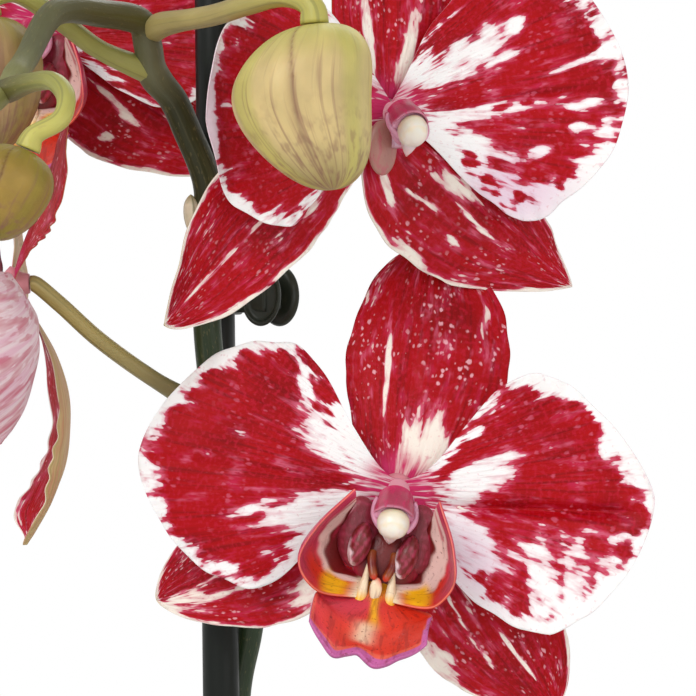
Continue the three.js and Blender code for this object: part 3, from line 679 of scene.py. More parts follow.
@dataclass(frozen=True)
class PetalFinish:
    """Living petal tissue: a satin skin of tiny domed cells over a soft, faintly clear body.

    Light sinks a little way in, so that the white parts glow and the edges of the pigment are
    soft. The pigment lies in streaks along the veins: its field comes with the surface and
    noise stretched along the veins breaks its border into feathers.
    """

    name: str
    back: Shade
    vein: Shade
    feather: Pair = (1.15, 7.0)  # mm across the veins and along them, as in every pair here
    fringe: Pair = (0.5, 2.6)
    blotch: Pair = (2.8, 4.0)
    bunch: Pair = (5.0, 7.0)  # where the pale flecks gather
    ridge: Pair = (0.5, 16.0)
    drift: Pair = (9.0, 14.0)
    grain: Pair = (0.6, 0.8)
    dash: Pair = (0.7, 1.5)  # the cells that hold pale flecks
    details: tuple[float, ...] = (2.0, 2.0, 1.5, 1.0, 1.0, 2.0, 2.0)  # octaves of the seven noises
    speck: Shade = Shade.PINK
    amounts: Point = (5.0, 2.2, 3.2)  # how strongly feather, fringe and blotch break the border
    through: float = 0.6  # how far the pigment shows on the back
    bare: Shade = Shade.WHITE
    roughness: float = 0.52
    relief: float = 0.35  # mm

    def build(self) -> bpy.types.Material:
        """Makes the material.

        Returns:
            The material, which reads the attributes fan, tint and rim.
        """
        material, tree = new_material(self.name)
        fan = carried(tree, "fan")
        tint, rim = (parted(tree, carried(tree, name)) for name in ("tint", "rim"))
        sizes = (self.feather, self.fringe, self.blotch, self.bunch, self.ridge, self.drift, self.grain)
        scales = ((1 / across, 1 / along, 1.0 + k) for k, (across, along) in enumerate(sizes))
        noises = [cloud(tree, fan, scale, detail) for scale, detail in zip(scales, self.details)]
        feather, fringe, blotch, bunch, ridge, drift, grain = noises
        pigment: object = -sum(self.amounts) / 2
        for noise, amount in zip((feather, fringe, blotch), self.amounts):
            pigment = maths(tree, "MULTIPLY_ADD", noise, amount, pigment)
        pigment = maths(tree, "MULTIPLY_ADD", pigment, rim["X"], tint["X"])
        scale = (1 / self.dash[0], 1 / self.dash[1], 2.0)
        spread = add_node(tree, "VectorMath", {0: fan, 1: scale}, operation="MULTIPLY")
        spread = add_node(tree, "VectorMath", {0: spread, 1: fringe.outputs["Color"]}, operation="ADD")
        cells = add_node(tree, "TexVoronoi", {"Vector": spread, "Scale": 1.0}).outputs
        spot = maths(tree, "MULTIPLY_ADD", parted(tree, cells["Color"])["X"], 0.42, cells["Distance"])
        spot = maths(tree, "MULTIPLY_ADD", spot, -1.0, 0.5)
        mask, deep, halo, fleck, gathered, dark, line, mottle, dust, streak, veined = (
            ramp(tree, *ends)
            for ends in (
                (pigment, -0.2, 0.2), (pigment, -0.1, 1.5), (pigment, -1.3, 0.1, 0.4),
                (spot, 0.0, 0.24, 0.9), (bunch, 0.42, 0.6), (drift, 0.46, 0.74, 0.6),
                (ridge, 0.5, 0.72, 0.6), (grain, 0.46, 0.68, 0.7), (grain, 0.6, 0.72, 0.22),
                (fringe, 0.44, 0.6, 0.9), (ridge, 0.44, 0.64, 0.55),
            )
        )
        fleck = maths(tree, "MULTIPLY", maths(tree, "MULTIPLY", fleck, gathered), rim["Y"], clamp=True)
        thin = maths(tree, "MULTIPLY", streak, maths(tree, "SUBTRACT", 1.0, deep))
        rays = ramp(tree, feather, 0.36, 0.56, 1.25, 0.45, soft=False)
        rays = maths(tree, "MULTIPLY", rays, tint["Y"], clamp=True)
        through = maths(tree, "MULTIPLY", mask, ramp(tree, feather, 0.35, 0.65, self.through, soft=False))
        red = layered(
            tree, Shade.CERISE, (deep, Shade.CRIMSON), (dark, Shade.BLOOD), (line, Shade.BLOOD),
            (mottle, Shade.CARMINE), (thin, Shade.PINK), (fleck, self.speck),
        )
        pale = layered(tree, self.bare, (rim["Z"], Shade.LILAC), (halo, Shade.MAGENTA), (dust, Shade.MAGENTA))
        back = layered(tree, self.back, (veined, self.vein), (through, Shade.CERISE))
        height = maths(tree, "MULTIPLY_ADD", ridge, 1.0, fringe)
        cover(tree, {
            "Base Color": layered(tree, pale, (mask, red), (rays, Shade.MAGENTA), (tint["Z"], back)),
            "Roughness": self.roughness,
            "IOR": 1.34,
            "Specular IOR Level": 0.25,
            "Subsurface Weight": 0.06,
            "Subsurface Scale": 0.0006,
            "Subsurface Radius": (1.0, 0.4, 0.3),
            "Normal": bump(tree, height, self.relief),
        })
        return material


@dataclass(frozen=True)
class TissueFinish:
    """Firm plant tissue, waxy or fleshy, whose ground colour comes with the surface.

    Streaks run along it and freckles lie on it, each where the surface's tint allows, and the
    skin has a fine grain that breaks up its highlights.
    """

    name: str
    streak: Shade
    freckle: Shade
    streak_size: Pair = (1.2, 14.0)  # mm across, mm along
    freckle_size: Pair = (0.7, 0.9)
    drift_size: Pair = (5.0, 9.0)
    streak_share: Pair = (0.52, 0.66)
    freckle_share: Pair = (0.62, 0.7)
    roughness: float = 0.42
    coat: float = 0.0
    depth: float = 0.1
    relief: float = 0.15  # mm

    def build(self) -> bpy.types.Material:
        """Makes the material.

        Returns:
            The material, which reads the attributes coat, fan and tint.
        """
        material, tree = new_material(self.name)
        fan, tint = carried(tree, "fan"), parted(tree, carried(tree, "tint"))
        streak, freckle, drift = (
            cloud(tree, fan, (1 / across, 1 / along, 1 / across), 2.0)
            for across, along in (self.streak_size, self.freckle_size, self.drift_size)
        )
        level = ramp(tree, drift, 0.3, 0.7, 1.1, 0.86, soft=False)
        ground = carried(tree, "coat", "Color")
        ground = add_node(tree, "VectorMath", {0: ground, "Scale": level}, operation="SCALE")
        streaked, freckled = (
            maths(tree, "MULTIPLY", ramp(tree, noise, *share), tint[gate], clamp=True)
            for noise, share, gate in ((streak, self.streak_share, "X"), (freckle, self.freckle_share, "Y"))
        )
        height = maths(tree, "MULTIPLY_ADD", streak, 1.0, freckle)
        cover(tree, {
            "Base Color": layered(tree, ground, (streaked, self.streak), (freckled, self.freckle)),
            "Roughness": self.roughness,
            "IOR": 1.42,
            "Subsurface Weight": self.depth,
            "Subsurface Scale": 0.0015,
            "Subsurface Radius": (1.0, 0.5, 0.3),
            "Coat Weight": self.coat,
            "Coat Roughness": 0.25,
            "Normal": bump(tree, height, self.relief),
        })
        return material


@dataclass(frozen=True)
class HardFinish:
    """A made or dead surface: glazed stoneware, moulded plastic, coated steel or bark.

    Its pattern lies in the object's own space, in millimetres: broad tone, then grain, then
    scuffs that are paler and rougher.
    """

    name: str
    ground: Shade
    dark: Shade
    pale: Shade
    grain: Point = (1.0, 1.0, 1.0)  # mm
    broad: float = 14.0
    amounts: Point = (0.3, 0.3, 0.1)  # broad, grain and scuff
    starts: Point = (0.42, 0.48, 0.58)  # the noise from which each shows
    roughness: float = 0.4
    coat: float = 0.0
    relief: float = 0.05
    gloss: float = 0.5

    def build(self) -> bpy.types.Material:
        """Makes the material, which reads object coordinates.

        Returns:
            The material.
        """
        material, tree = new_material(self.name)
        place = add_node(tree, "TexCoord").outputs["Object"]
        sizes = (((self.broad,) * 3, 3.0), (self.grain, 3.0), ((self.broad / 3,) * 3, 6.0))
        noises = [cloud(tree, place, [1 / (part * MM) for part in size], detail) for size, detail in sizes]
        ramps = (
            ramp(tree, noise, low, low + 0.22, amount, soft=False)
            for noise, low, amount in zip(noises, self.starts, self.amounts)
        )
        cover(tree, {
            "Base Color": layered(tree, self.ground, *zip(ramps, (self.dark, self.dark, self.pale))),
            "Roughness": ramp(tree, noises[2], 0.4, 0.7, self.roughness + 0.14, self.roughness, soft=False),
            "IOR": 1.5,
            "Specular IOR Level": self.gloss,
            "Coat Weight": self.coat,
            "Coat Roughness": 0.08,
            "Normal": bump(tree, noises[1], self.relief, 0.6),
        })
        return material


@dataclass(frozen=True)
class Patch:
    """An oval part of a tepal that is splashed with pigment or left bare.

    Its centre and half axes are in millimetres along and across the tepal, and soft is how
    wide its feathered border is, as a share of its size.
    """

    along: float
    across: float
    length: float
    breadth: float
    turn: float = 0.0
    value: float = -1.3
    soft: float = 0.55

    def over(self, ground: Array, x: Array, y: Array) -> Array:
        """Lays the patch over a field.

        Args:
            ground: the field so far.
            x: millimetres along.
            y: millimetres across.

        Returns:
            The field, pulled to the patch's value inside its oval.
        """
        c, s = np.cos(np.radians(self.turn)), np.sin(np.radians(self.turn))
        dx, dy = x - self.along, y - self.across
        away = np.hypot((dx * c + dy * s) / self.length, (dy * c - dx * s) / self.breadth)
        return mix(ground, self.value, 1 - smooth(away, 1 - self.soft, 1 + self.soft))


Side = tuple[float, float, float, float]
CLAW = 2.2  # mm, half the width of a tepal's base
VEIN_ORIGIN = 9.0  # mm behind the base, where a petal's veins meet
VEIN_REACH = 27.0  # mm of pattern across a petal's veins for each radian
STREAK_HALF = 9.0  # mm of pattern across half a sepal


def half_width(side: Side, t: Array) -> Array:
    """How wide a tepal is on one side of its midrib.

    The width rises as a power of a sine to its widest share and falls as a power of a cosine
    to the tip, over a narrow claw at the base.

    Args:
        side: half width in mm, share where it is widest, and the powers of base and tip.
        t: shares of the length.

    Returns:
        Widths in mm.
    """
    width, widest, base, tip = side
    rise = np.sin(np.pi / 2 * np.clip(t / widest, 0, 1)) ** base
    fall = np.cos(np.pi / 2 * np.clip((t - widest) / (1 - widest), 0, 1)) ** tip
    return CLAW * (1 - t) ** 2 + width * rise * fall


@dataclass(frozen=True)
class Tepal:
    """A petal or sepal in its flower's frame: X to the viewer's right, Y up, Z to the viewer."""

    angle: float
    length: float
    left: Side
    right: Side
    lift: float = 0.0
    bow: float = 0.0
    cup: float = 0.0
    ruffle: float = 0.0
    waves: float = 3.0
    phase: float = 0.0
    sway: float = 0.0
    curl: float = 0.0
    twist: float = 0.0
    fold: Point = (0.0, 1.1, 0.35)  # where across, width and depth of the groove, mm
    ground: float = 1.45
    margin: float = 0.4  # mm of bare rim
    patches: tuple[tuple[float, ...], ...] = ()  # a Patch's numbers each
    blush: tuple[tuple[float, ...], ...] = ()
    specks: float = 0.8
    flush: float = 9.0  # mm of magenta at the base
    veins: bool = False  # whether they fan out from behind the base, as on a petal
    spin: float = 0.0  # degrees from the tepal's line to that of its pattern

    def surface(self, root: float, t: Array, s: Array) -> tuple[Array, Array, Array]:
        """The middle surface.

        Height is lift t^1.5 + bow sin(pi t) + cup s^2 + twist s t, with waves of |s|^3 along
        the rim, a crease along the midrib and slight ripples all over.

        Args:
            root: height of the base above the flower's centre plane, mm.
            t: grid of shares along.
            s: grid of shares across, from -1 to 1.

        Returns:
            The points, and millimetres along and across.
        """
        run = np.minimum(t, 0.99999)
        across = s * np.where(s > 0, half_width(self.left, run), half_width(self.right, run))
        uneven = 1 + 0.014 * np.sin(17 * t + 3 * np.sign(s) + self.angle)
        across = across * (uneven + 0.008 * np.sin(41 * t + 5 * np.sign(s)))
        rolled = self.curl * smooth(t, 0.8, 1)
        wave = self.ruffle * np.abs(s) ** 3 * np.sin(self.waves * np.pi * t + self.phase + s)
        wave = wave * (1 - smooth(t, 0.86, 1))
        x = self.length * t - 0.6 * rolled
        y = across + self.sway * np.sin(np.pi * t)
        height = self.lift * t**1.5 + self.bow * np.sin(np.pi * t) + wave * smooth(t, 0.1, 0.4) + rolled
        fading = 1 - smooth(t, 0.84, 1)
        height = height + self.cup * s * s * smooth(t, 0.1, 0.5) * (0.25 + 0.75 * fading)
        height = height + self.twist * s * t * fading
        where, wide, deep = self.fold
        crease = deep * bell(across, where, wide) * smooth(t, 0.05, 0.3)
        height = height - crease * (1 - smooth(t, 0.8, 1))
        height = height + 0.22 * ripple(x, y, self.angle) * smooth(t, 0.1, 0.35)
        fine = np.abs(s) ** 8 * np.sin(44 * t + 5 * np.sin(9 * t + self.angle)) * smooth(t, 0.2, 0.4)
        height = height + 0.28 * fine * fading
        forward, sideways = compass(self.angle)
        points = x[..., None] * forward + y[..., None] * sideways
        points[..., 2] += root + height
        return points, x, y

    def margin_distance(self, x: Array, y: Array) -> Array:
        """How far each point lies from the tepal's outline: the least distance to its pieces.

        Args:
            x: millimetres along.
            y: millimetres across.

        Returns:
            Grid of distances, mm.
        """
        left, right = (np.stack([x[4::2, k], y[4::2, k]], -1) for k in (0, -1))
        line = np.vstack([left, right[::-1]])
        start, run = line[:-1], np.diff(line, axis=0)
        away = np.stack([x, y], -1)[:, :, None] - start
        share = np.clip((away * run).sum(-1) / np.maximum((run**2).sum(-1), 1e-9), 0, 1)
        return np.linalg.norm(away - share[..., None] * run, axis=-1).min(-1)

    def press(self, mould: Mould, root: float, rows: int, columns: int) -> None:
        """Adds the tepal to a mould with what its finish reads.

        fan holds millimetres across and along the veins and a seed. tint holds the pigment's
        field, the magenta of the base and 1 on the back. rim holds how strongly noise frays
        the pigment, the amount of pale flecks and the lilac of the bare parts.

        Args:
            mould: where it goes.
            root: height of the base, mm.
            rows: steps along.
            columns: steps across.
        """
        t, s = lattice(rows, columns)
        middle, x, y = self.surface(root, t, s)
        edge = self.margin_distance(x, y)
        pigment = np.full_like(x, self.ground)
        c, d = np.cos(np.radians(self.spin)), np.sin(np.radians(self.spin))
        for patch in self.patches:
            pigment = Patch(*patch).over(pigment, x * c + y * d, y * c - x * d)
        if self.margin:
            wide = 3.0 * self.margin + 1.5 if self.veins else 2.4 * self.margin
            pigment = pigment - (self.ground + 1.2) * (1 - smooth(edge, 0, wide))
        lilac = np.zeros_like(x)
        for patch in self.blush:
            lilac = Patch(*patch).over(lilac, x, y)
        flush = 1 - smooth(np.hypot(x, y), 0.35 * self.flush, self.flush)
        fray = 1 + (0.9 if self.veins else 0.15) * (1 - smooth(edge, 1.5, 7))
        behind = x + VEIN_ORIGIN
        fanned = (np.arctan2(y, behind) * VEIN_REACH, np.hypot(behind, y))
        run = fanned if self.veins else (s * STREAK_HALF, x)
        fan = np.stack([*run, np.full_like(x, self.angle)], -1)
        tint = np.stack([pigment, flush, np.zeros_like(x)], -1)
        rim = np.stack([fray, np.full_like(x, self.specks), lilac], -1)
        half = mix(0.1, 0.28, smooth(edge, 0.0, 2.0))
        mould.blade(middle, half, {"fan": fan, "tint": tint, "rim": rim}, {"tint": tint + (0, 0, 1)})


DORSAL = Tepal(90.4, 43, (11.8, 0.57, 0.75, 0.42), (16.7, 0.6, 0.66, 0.45), margin=0.0, specks=1.0)
PETAL_LEFT = Tepal(
    180.3, 46.5, (20.3, 0.52, 2.5, 0.6), (23.4, 0.53, 1.6, 0.57), veins=True, margin=0.9, specks=0.5, spin=1.8
)
PETAL_RIGHT = Tepal(
    7, 45.8, (21.2, 0.51, 2.1, 0.74), (23.8, 0.57, 1, 0.55), veins=True, margin=0.45, specks=0.6, spin=-1.5
)
LATERAL_LEFT = Tepal(211.7, 47, (13, 0.5, 0.9, 0.62), (12, 0.5, 0.9, 0.62))
LATERAL_RIGHT = Tepal(313.9, 47.5, (8.8, 0.66, 0.6, 0.7), (11.8, 0.5, 0.8, 0.75))
SEPAL_ROOT = -3.4
PETAL_ROOT = -0.8
HUB_BACK = -6.5
GAP = 0.3
COLUMN_TIP = np.array([-0.4, -4.4, 8.4])
COLUMN_LEAN = np.degrees(np.arctan2(2.2, 3))
COLUMN_FOOT = ((0, -1.4, 3.4), (0, -4, 3.6), (0, -6.6, 3.5))


class Finishes:
    """Every finish of the plant, its pot and its stake, made once."""

    def __init__(self) -> None:
        """Makes the materials."""
        # Satin cells: a soft sheen without a hard highlight, and pigment feathered along the veins.
        self.petal = PetalFinish("petal tissue, satin", Shade.BLUSH_BACK, Shade.WING).build()
        # The same sheen over finer streaks and many pale flecks, and tan with brown veins behind.
        self.sepal = PetalFinish(
            "sepal tissue, satin", Shade.TAN, Shade.STALK_TAN, feather=(0.9, 7.0), blotch=(1.5, 3.6),
            dash=(0.6, 1.2), speck=Shade.SPECK, through=0.3, bare=Shade.IVORY,
        ).build()
        # Thick and fleshy: it shines where it curves, with short streaks and dots of maroon.
        self.lip = TissueFinish(
            "lip tissue, fleshy", Shade.MAROON, Shade.BLOOD, (0.8, 4.0), (0.5, 0.6), roughness=0.36, coat=0.2
        ).build()
        # Waxy: small highlights follow its round back.
        self.column = TissueFinish(
            "column tissue, waxy", Shade.MAGENTA, Shade.BLOOD, (0.8, 3.0), roughness=0.34, coat=0.2
        ).build()
        # The smoothest wax on the flower: a cream bead with a bright highlight and a soft glow.
        self.cap = TissueFinish(
            "anther cap, waxy", Shade.CREAM, Shade.CREAM, roughness=0.3, coat=0.3, depth=0.25, relief=0.05
        ).build()
        # A dull wax with long soft seams and brown blotches.
        self.bud = TissueFinish(
            "bud skin, waxy", Shade.BUD_BROWN, Shade.BUD_BROWN, (1.0, 26.0), (1.7, 2.2),
            streak_share=(0.54, 0.7), freckle_share=(0.46, 0.68), roughness=0.5, relief=0.25,
        ).build()
        # Smooth and firm: a long highlight broken by fine olive fibres.
        self.stem = TissueFinish(
            "flower stalk, green and smooth", Shade.STEM_OLIVE, Shade.STALK_TAN, (0.7, 30.0), (0.5, 1.6),
            roughness=0.45,
        ).build()
        # Leather under wax: broad soft highlights and long faint veins.
        self.leaf = TissueFinish(
            "leaf, leathery and waxy", Shade.LEAF_PALE, Shade.LEAF, (1.4, 90.0), (3.0, 8.0),
            roughness=0.34, coat=0.35, depth=0.03,
        ).build()
        # Dry and spongy: matt silver with pale dots and no highlight.
        self.root = TissueFinish(
            "aerial root, silvery velamen", Shade.LEAF_BACK, Shade.CREAM, (1.4, 6.0), (0.5, 0.6),
            roughness=0.8,
        ).build()
        # Glassy glaze: sharp reflections over an off-white body.
        self.glaze = HardFinish(
            "glazed stoneware", Shade.GLAZE, Shade.CREAM, Shade.WHITE, grain=(1.2, 1.2, 1.2), broad=60.0,
            amounts=(0.2, 0.08, 0.05), roughness=0.16, coat=0.6,
        ).build()
        # Thin plastic: an even grey-green with a half dull sheen.
        self.liner = HardFinish(
            "polypropylene liner, moulded", Shade.LINER, Shade.STEM_OLIVE, Shade.WHITE,
            amounts=(0.1, 0.08, 0.1),
        ).build()
        # Dead bark: rough and dull, split along its fibres, dark in its pits.
        self.bark = HardFinish(
            "fir bark, dry", Shade.BARK, Shade.BARK_DARK, Shade.BARK_PALE, grain=(5.0, 1.0, 1.4), broad=9.0,
            amounts=(0.7, 0.75, 0.75), roughness=0.82, relief=0.7,
        ).build()
        # Plastic coating: nearly black, with one soft highlight along the rod.
        self.stake = HardFinish(
            "plastic coated steel stake", Shade.STAKE, Shade.STAKE, Shade.STEM_GREEN, grain=(0.4, 0.4, 9.0),
            amounts=(0.2, 0.2, 0.25), roughness=0.36, gloss=0.25,
        ).build()
        # Moulded plastic: dark olive, its edges picked out by small highlights.
        self.clip = HardFinish(
            "polypropylene clip, moulded", Shade.CLIP, Shade.STAKE, Shade.STEM_OLIVE, broad=6.0,
            amounts=(0.3, 0.2, 0.15), roughness=0.34, gloss=0.3,
        ).build()


@dataclass(frozen=True)
class Bloom:
    """One open flower: three sepals, two petals, column, cap and, where it has one, its lip."""

    name: str
    place: Point
    yaw: float
    pitch: float
    roll: float
    sepals: tuple[Tepal, ...]
    petals: tuple[Tepal, ...]
    lip: bool = True
    nod: Pair = (0.0, 0.0)  # how far the column leans aside and up, mm for each mm of its length
    sepal_hub: tuple[Pair, ...] = (
        (0.01, HUB_BACK), (1.8, HUB_BACK), (2.1, -5.2), (2.9, -4.2), (3.3, -3.1), (2.4, -2.2), (0.01, -2.2)
    )
    petal_hub: tuple[Pair, ...] = ((0.01, -1.9), (2.2, -1.9), (2.5, -1.0), (2.2, -0.4), (1.4, 0), (0.01, 0.1))
    lobe_outer: tuple[Point, ...] = (
        (4.0, -19.2, 7.0), (10.4, -18.6, 11.4), (13.7, -14.2, 12.8), (12.3, -8.2, 12), (7.6, -0.2, 9)
    )
    lobe_inner: tuple[Point, ...] = (
        (2.6, -15.4, 3.6), (5.8, -14.4, 2.9), (6.9, -10.4, 2.8), (7.2, -6.4, 4.4), (7, -2.4, 7)
    )
    spine: tuple[Point, ...] = (
        (-0.6, -15, 3.4), (-1.0, -20, 7.6), (-1.6, -24.2, 10.6), (-2.0, -27, 12.8), (-2.0, -28.8, 14.8)
    )

    def matrix(self) -> Array:
        """Turns the flower's frame to the plant's: its face looks along -Y at yaw 0."""
        return turning("z", self.yaw) @ turning("x", 90 + self.pitch) @ turning("z", self.roll)

    def whorl(
        self, tepals: Sequence[Tepal], root: float, hub: Sequence[Pair], rows: int, columns: int
    ) -> Mould:
        """The tepals of one whorl on their shared hub.

        Args:
            tepals: the whorl's tepals.
            root: height of their bases, mm.
            hub: the hub's profile.
            rows: steps along each.
            columns: steps across each.

        Returns:
            The mould, in the flower's frame.
        """
        mould = Mould()
        for tepal in tepals:
            tepal.press(mould, root, rows, columns)
        mould.skin(lathe(hub, 40), {"fan": (0, 0, 0), "tint": (-0.5, 0.6, 0), "rim": (1, 0, 0)})
        return mould

    def column_mould(self) -> Mould:
        """The column: a stem under a flaring hood, a pale wing down each side and a short foot.

        The hood is part of a cone: a radius that grows towards the viewer, swept 104 degrees to
        either side of the column's back. A flower without a lip shows the broad seat that the
        lip has left.

        Returns:
            The mould, in the flower's frame.
        """
        mould = Mould()
        path = evenly([(0, -1.3, 1.2), (0, -1.7, 2.8), (-0.2, -3, 5.8), COLUMN_TIP], 46)
        u = np.linspace(0, 1, len(path))[:, None]
        radius = (2.1 + 1.0 * smooth(u, 0.1, 0.7)) * domed(u, 0.9)
        rings = tube(path, radius * (1 + 0.05 * np.cos(2 * around(40)) * smooth(u, 0.2, 0.9)), 40)
        lower = smooth(-(rings[..., 1] - path[:, None, 1]), 0.6, 2.4)
        coat = coated(painted((0, Shade.CERISE), (0.5, Shade.HOOD), at=u), (0.6 * lower, Shade.WING))
        mould.flesh(rings, coat, (0.6, 0.2), along_skin(rings, 1))
        t, s = lattice(30, 44)
        leaned = turning("x", COLUMN_LEAN)
        onward, upward = leaned[:, 2] - (0.06, 0, 0), leaned[:, 1]
        sweep = s * np.radians(104)
        reach = mix(2.8, 3.4, smooth(t, 0, 0.75)) + 0.06 * np.cos(5 * sweep) * t
        run = mix(-5.6, 0.9 - 1.9 * s * s + 0.12 * np.cos(6 * sweep), t)
        hood = COLUMN_TIP + run[..., None] * onward + (reach * np.cos(sweep))[..., None] * upward
        hood[..., 0] += 0.3 * t + reach * np.sin(sweep)
        pale = np.clip(smooth(np.abs(s), 0.62, 0.95) + 0.5 * smooth(t, 0.9, 1), 0, 1)
        coat = coated(Shade.MAGENTA, (smooth(t, 0.0, 0.5), coated(Shade.HOOD, (pale, Shade.WING))))
        fan = np.stack([sweep * 4, t * 6, 0 * t], -1)
        mould.blade(hood, 0.32 - 0.16 * t, {"coat": coat, "fan": fan, "tint": (0.7, 0.3, 0)})
        t, s = lattice(16, 8)
        for side in (-1, 1):
            bulge = np.sin(np.pi * t)
            spread = side * (3.2 + 0.7 * bulge - 0.8 * t + 0.6 * s * bulge**0.5)
            wing = np.stack([spread + 0.2 * t, mix(-1.2, -6.0, t) - 0.4 * s, mix(5.0, 8.6, t) + 0.7 * s], -1)
            fan = np.stack([s, t * 4, s * 0 + side], -1)
            coat = coated(Shade.HOOD, (smooth(np.abs(s) + 0.3 * t, 0.2, 1), Shade.WING))
            mould.blade(wing, 0.35 + 0.2 * (1 - s * s), {"coat": coat, "fan": fan, "tint": (0, 0, 0)})
        collar = ball((3.5, 3.3, 0.9), (0.3, -0.3, -0.5), 36) @ leaned.T + COLUMN_TIP
        mould.flesh(collar, tone(Shade.WING), (0.3, 0.1))
        rings = tube(evenly(COLUMN_FOOT, 12), 1.7, 20)
        mould.flesh(rings, tone(Shade.LILAC), (0.6, 0.2), along_skin(rings, 2))
        if not self.lip:
            seat = ball((2.9, 5.0, 1.5), (-2.5, -6.1, 0.4), 32)
            mould.flesh(seat, tone(Shade.BLUSH) * (0.6, 0.42, 0.38), (0.3, 0.1))
        return mould

    def cap_mould(self) -> Mould:
        """The anther cap: a ridged knob that leans with the column, its front painted with a highlight in
        rings, and its small beak.

        Returns:
            The mould, in the flower's frame.
        """
        mould = Mould()
        rings = ball((2.9, 2.85, 2.9), (0.4, 0, 0.9), 40)
        rings = np.maximum(rings * (1 + 0.012 * np.sin(rings[..., 2:3] * 9)), (-9, -9, 0.02))
        # The cap's own cream, tan towards its back, laid in bands by depth: the paler rings round its front
        # are a painted highlight.
        high = rings[..., 2] / 3 - rings[..., 1] / 9 + 0.05 * np.sin(rings[..., 1] * 5)
        cream = ((-0.5, Shade.TAN), (0.2, Shade.CREAM), (0.7, Shade.CAP), (0.9, Shade.CREAM), (1, Shade.CAP))
        mould.flesh(rings, painted(*cream, at=high), (0.2, 0))
        beak = lathe([(1.7, -0.4), (1.5, 0.6), (0.9, 1.7), (0.12, 2.7)], 16) @ turning("x", 90).T
        mould.flesh(beak + (0.25, -2.0, 1.0), mix(tone(Shade.CAP), tone(Shade.WING), 0.4), (0, 0), beak)
        leaned = turning("x", COLUMN_LEAN)
        mould.turned(leaned, COLUMN_TIP + leaned[:, 2] * (GAP + 0.05))
        return mould

    def side_lobe(self, side: int, t: Array, q: Array) -> Array:
        """One ear of the lip, between an inner and an outer curve, bulging outwards.

        Args:
            side: -1 for the viewer's left and 1 for the right.
            t: shares from the front below to the back above.
            q: shares from the inner to the outer curve.

        Returns:
            Grid of points.
        """
        points = mix(spline(self.lobe_inner, t), spline(self.lobe_outer, t), q[..., None])
        bulge = 2 * np.sin(np.pi * q) * np.sin(np.pi * t)
        inward = 1.7 * np.sin(np.pi * t) + (1 + side) * (1 - smooth(t, 0, 0.3))
        points[..., 0] = (points[..., 0] + bulge) * side - inward
        points[..., 2] -= 0.6 * bulge
        return points

    def ears(self, mould: Mould) -> None:
        """Adds the lip's two side lobes: a red band, a cream stripe, maroon within, gold below.

        Args:
            mould: where they go.
        """
        t, s = lattice(72, 48)
        q = (s + 1) / 2
        for side in (-1, 1):
            middle = self.side_lobe(side, t, q)
            middle[..., 2] += 0.25 * np.sin(11 * t + side) * q**3
            stripe = 0.2 + 0.04 * np.sin(9 * t + side) + 0.02 * np.sin(31 * t) - 0.17 * smooth(t, 0.6, 0.85)
            band = 0.42 + 0.09 * side + 0.05 * np.sin(8 * t + 1) + 0.02 * np.sin(37 * t + 3 * side)
            gold = smooth(q + t, 0.5, 0.66) * (1 - smooth(q, 0.93, 1.0))
            gold = gold * (1 - smooth(t + 0.1 * q, 0.26, 0.36)) * smooth(t, 0.04, 0.14)
            outside = coated(Shade.ORANGE_RED, (smooth(t + 0.1 * np.sin(9 * q), 0.25, 0.6), Shade.ROSE))
            coat = coated(
                Shade.MAROON,
                (smooth(q, stripe, stripe + 0.06), Shade.BLUSH),
                (0.6 * smooth(np.sin(17 * q + 9 * t), 0.3, 1) * (1 - smooth(q, 0.1, stripe)), Shade.CERISE),
                (smooth(q, band, band + 0.1), outside),
                (gold, Shade.YELLOW),
                (0.7 * (1 - smooth(q, 0.15, 0.3)) * (1 - smooth(t, 0.1, 0.3)), Shade.BLOOD),
                (smooth(q, 0.968, 0.995), Shade.SALMON),
            )
            coat = coated(Shade.PETAL_CREAM, (smooth(t, 0.02, 0.1), coat))
            low = smooth(q, 0.3, 0.9) * (1 - smooth(t, 0.3, 0.6))
            back = coated(Shade.LILAC, (smooth(q, 0.2, 0.8), Shade.ROSE), (low, Shade.ORANGE_RED))
            fan = np.stack([q * 9, t * 20, s * 0 + side * 5], -1)
            tint = np.stack([0.3 + 0 * q, 0.55 * (1 - smooth(q, 0.9, 1)), 0 * q], -1)
            half = mix(0.16, 0.42, 1 - np.abs(s) ** 4)
            mould.blade(middle, half, {"coat": coat, "fan": fan, "tint": tint}, {"coat": back}, -side)

    def tongue(self, mould: Mould) -> None:
        """Adds the lip's middle lobe: scooped, orange red above, violet under its turned rim.

        Args:
            mould: where it goes.
        """
        t, s = lattice(80, 64)
        width = mix(3.2, np.where(s > 0, 10.8, 10.0), smooth(t, 0.12, 0.52))
        rise = mix(5.8, 4.8, smooth(t, 0.6, 1)) * np.where(s > 0, 0.8, 1) * smooth(t, 0.15, 0.6)
        rise = rise * np.abs(s) ** mix(2, 3.2, smooth(t, 0.5, 1))
        middle = spline(self.spine, t) + np.stack([s * width, rise, -s * s * 1.2], -1)
        middle[..., 2] += 0.4 * bell(s, 0, 0.1) * smooth(t, 0.1, 0.4) * (1 - smooth(t, 0.6, 0.8))
        bumps = ((-1.0, -0.5, 0.16), (0.5, -0.1, 0.12), (-1.3, 0.22, 0.17), (-0.5, 0.42, 0.12))
        middle[..., 1] += sum(tall * bell(s, at, wide) for tall, at, wide in bumps) * smooth(t, 0.6, 1)
        uneven = 0.18 * ripple(s * 16, t * 30, 4) * smooth(t, 0.1, 0.3)
        middle += uneven[..., None] * np.array([0, 0.8, 0.6])
        strip = bell(s + 0.05 * np.sin(11 * t), 0, 0.13 + 0.05 * np.sin(13 * t))
        peach = bell(s, -0.06, 0.17) * smooth(t, 0.4, 0.5) * (1 - smooth(t, 0.66, 0.76))
        outer = t - 0.09 * s * s + 0.02 * np.sin(8 * s + 1) + 0.5 * smooth(s, 0.9, 0.98) * smooth(t, 0.5, 0.6)
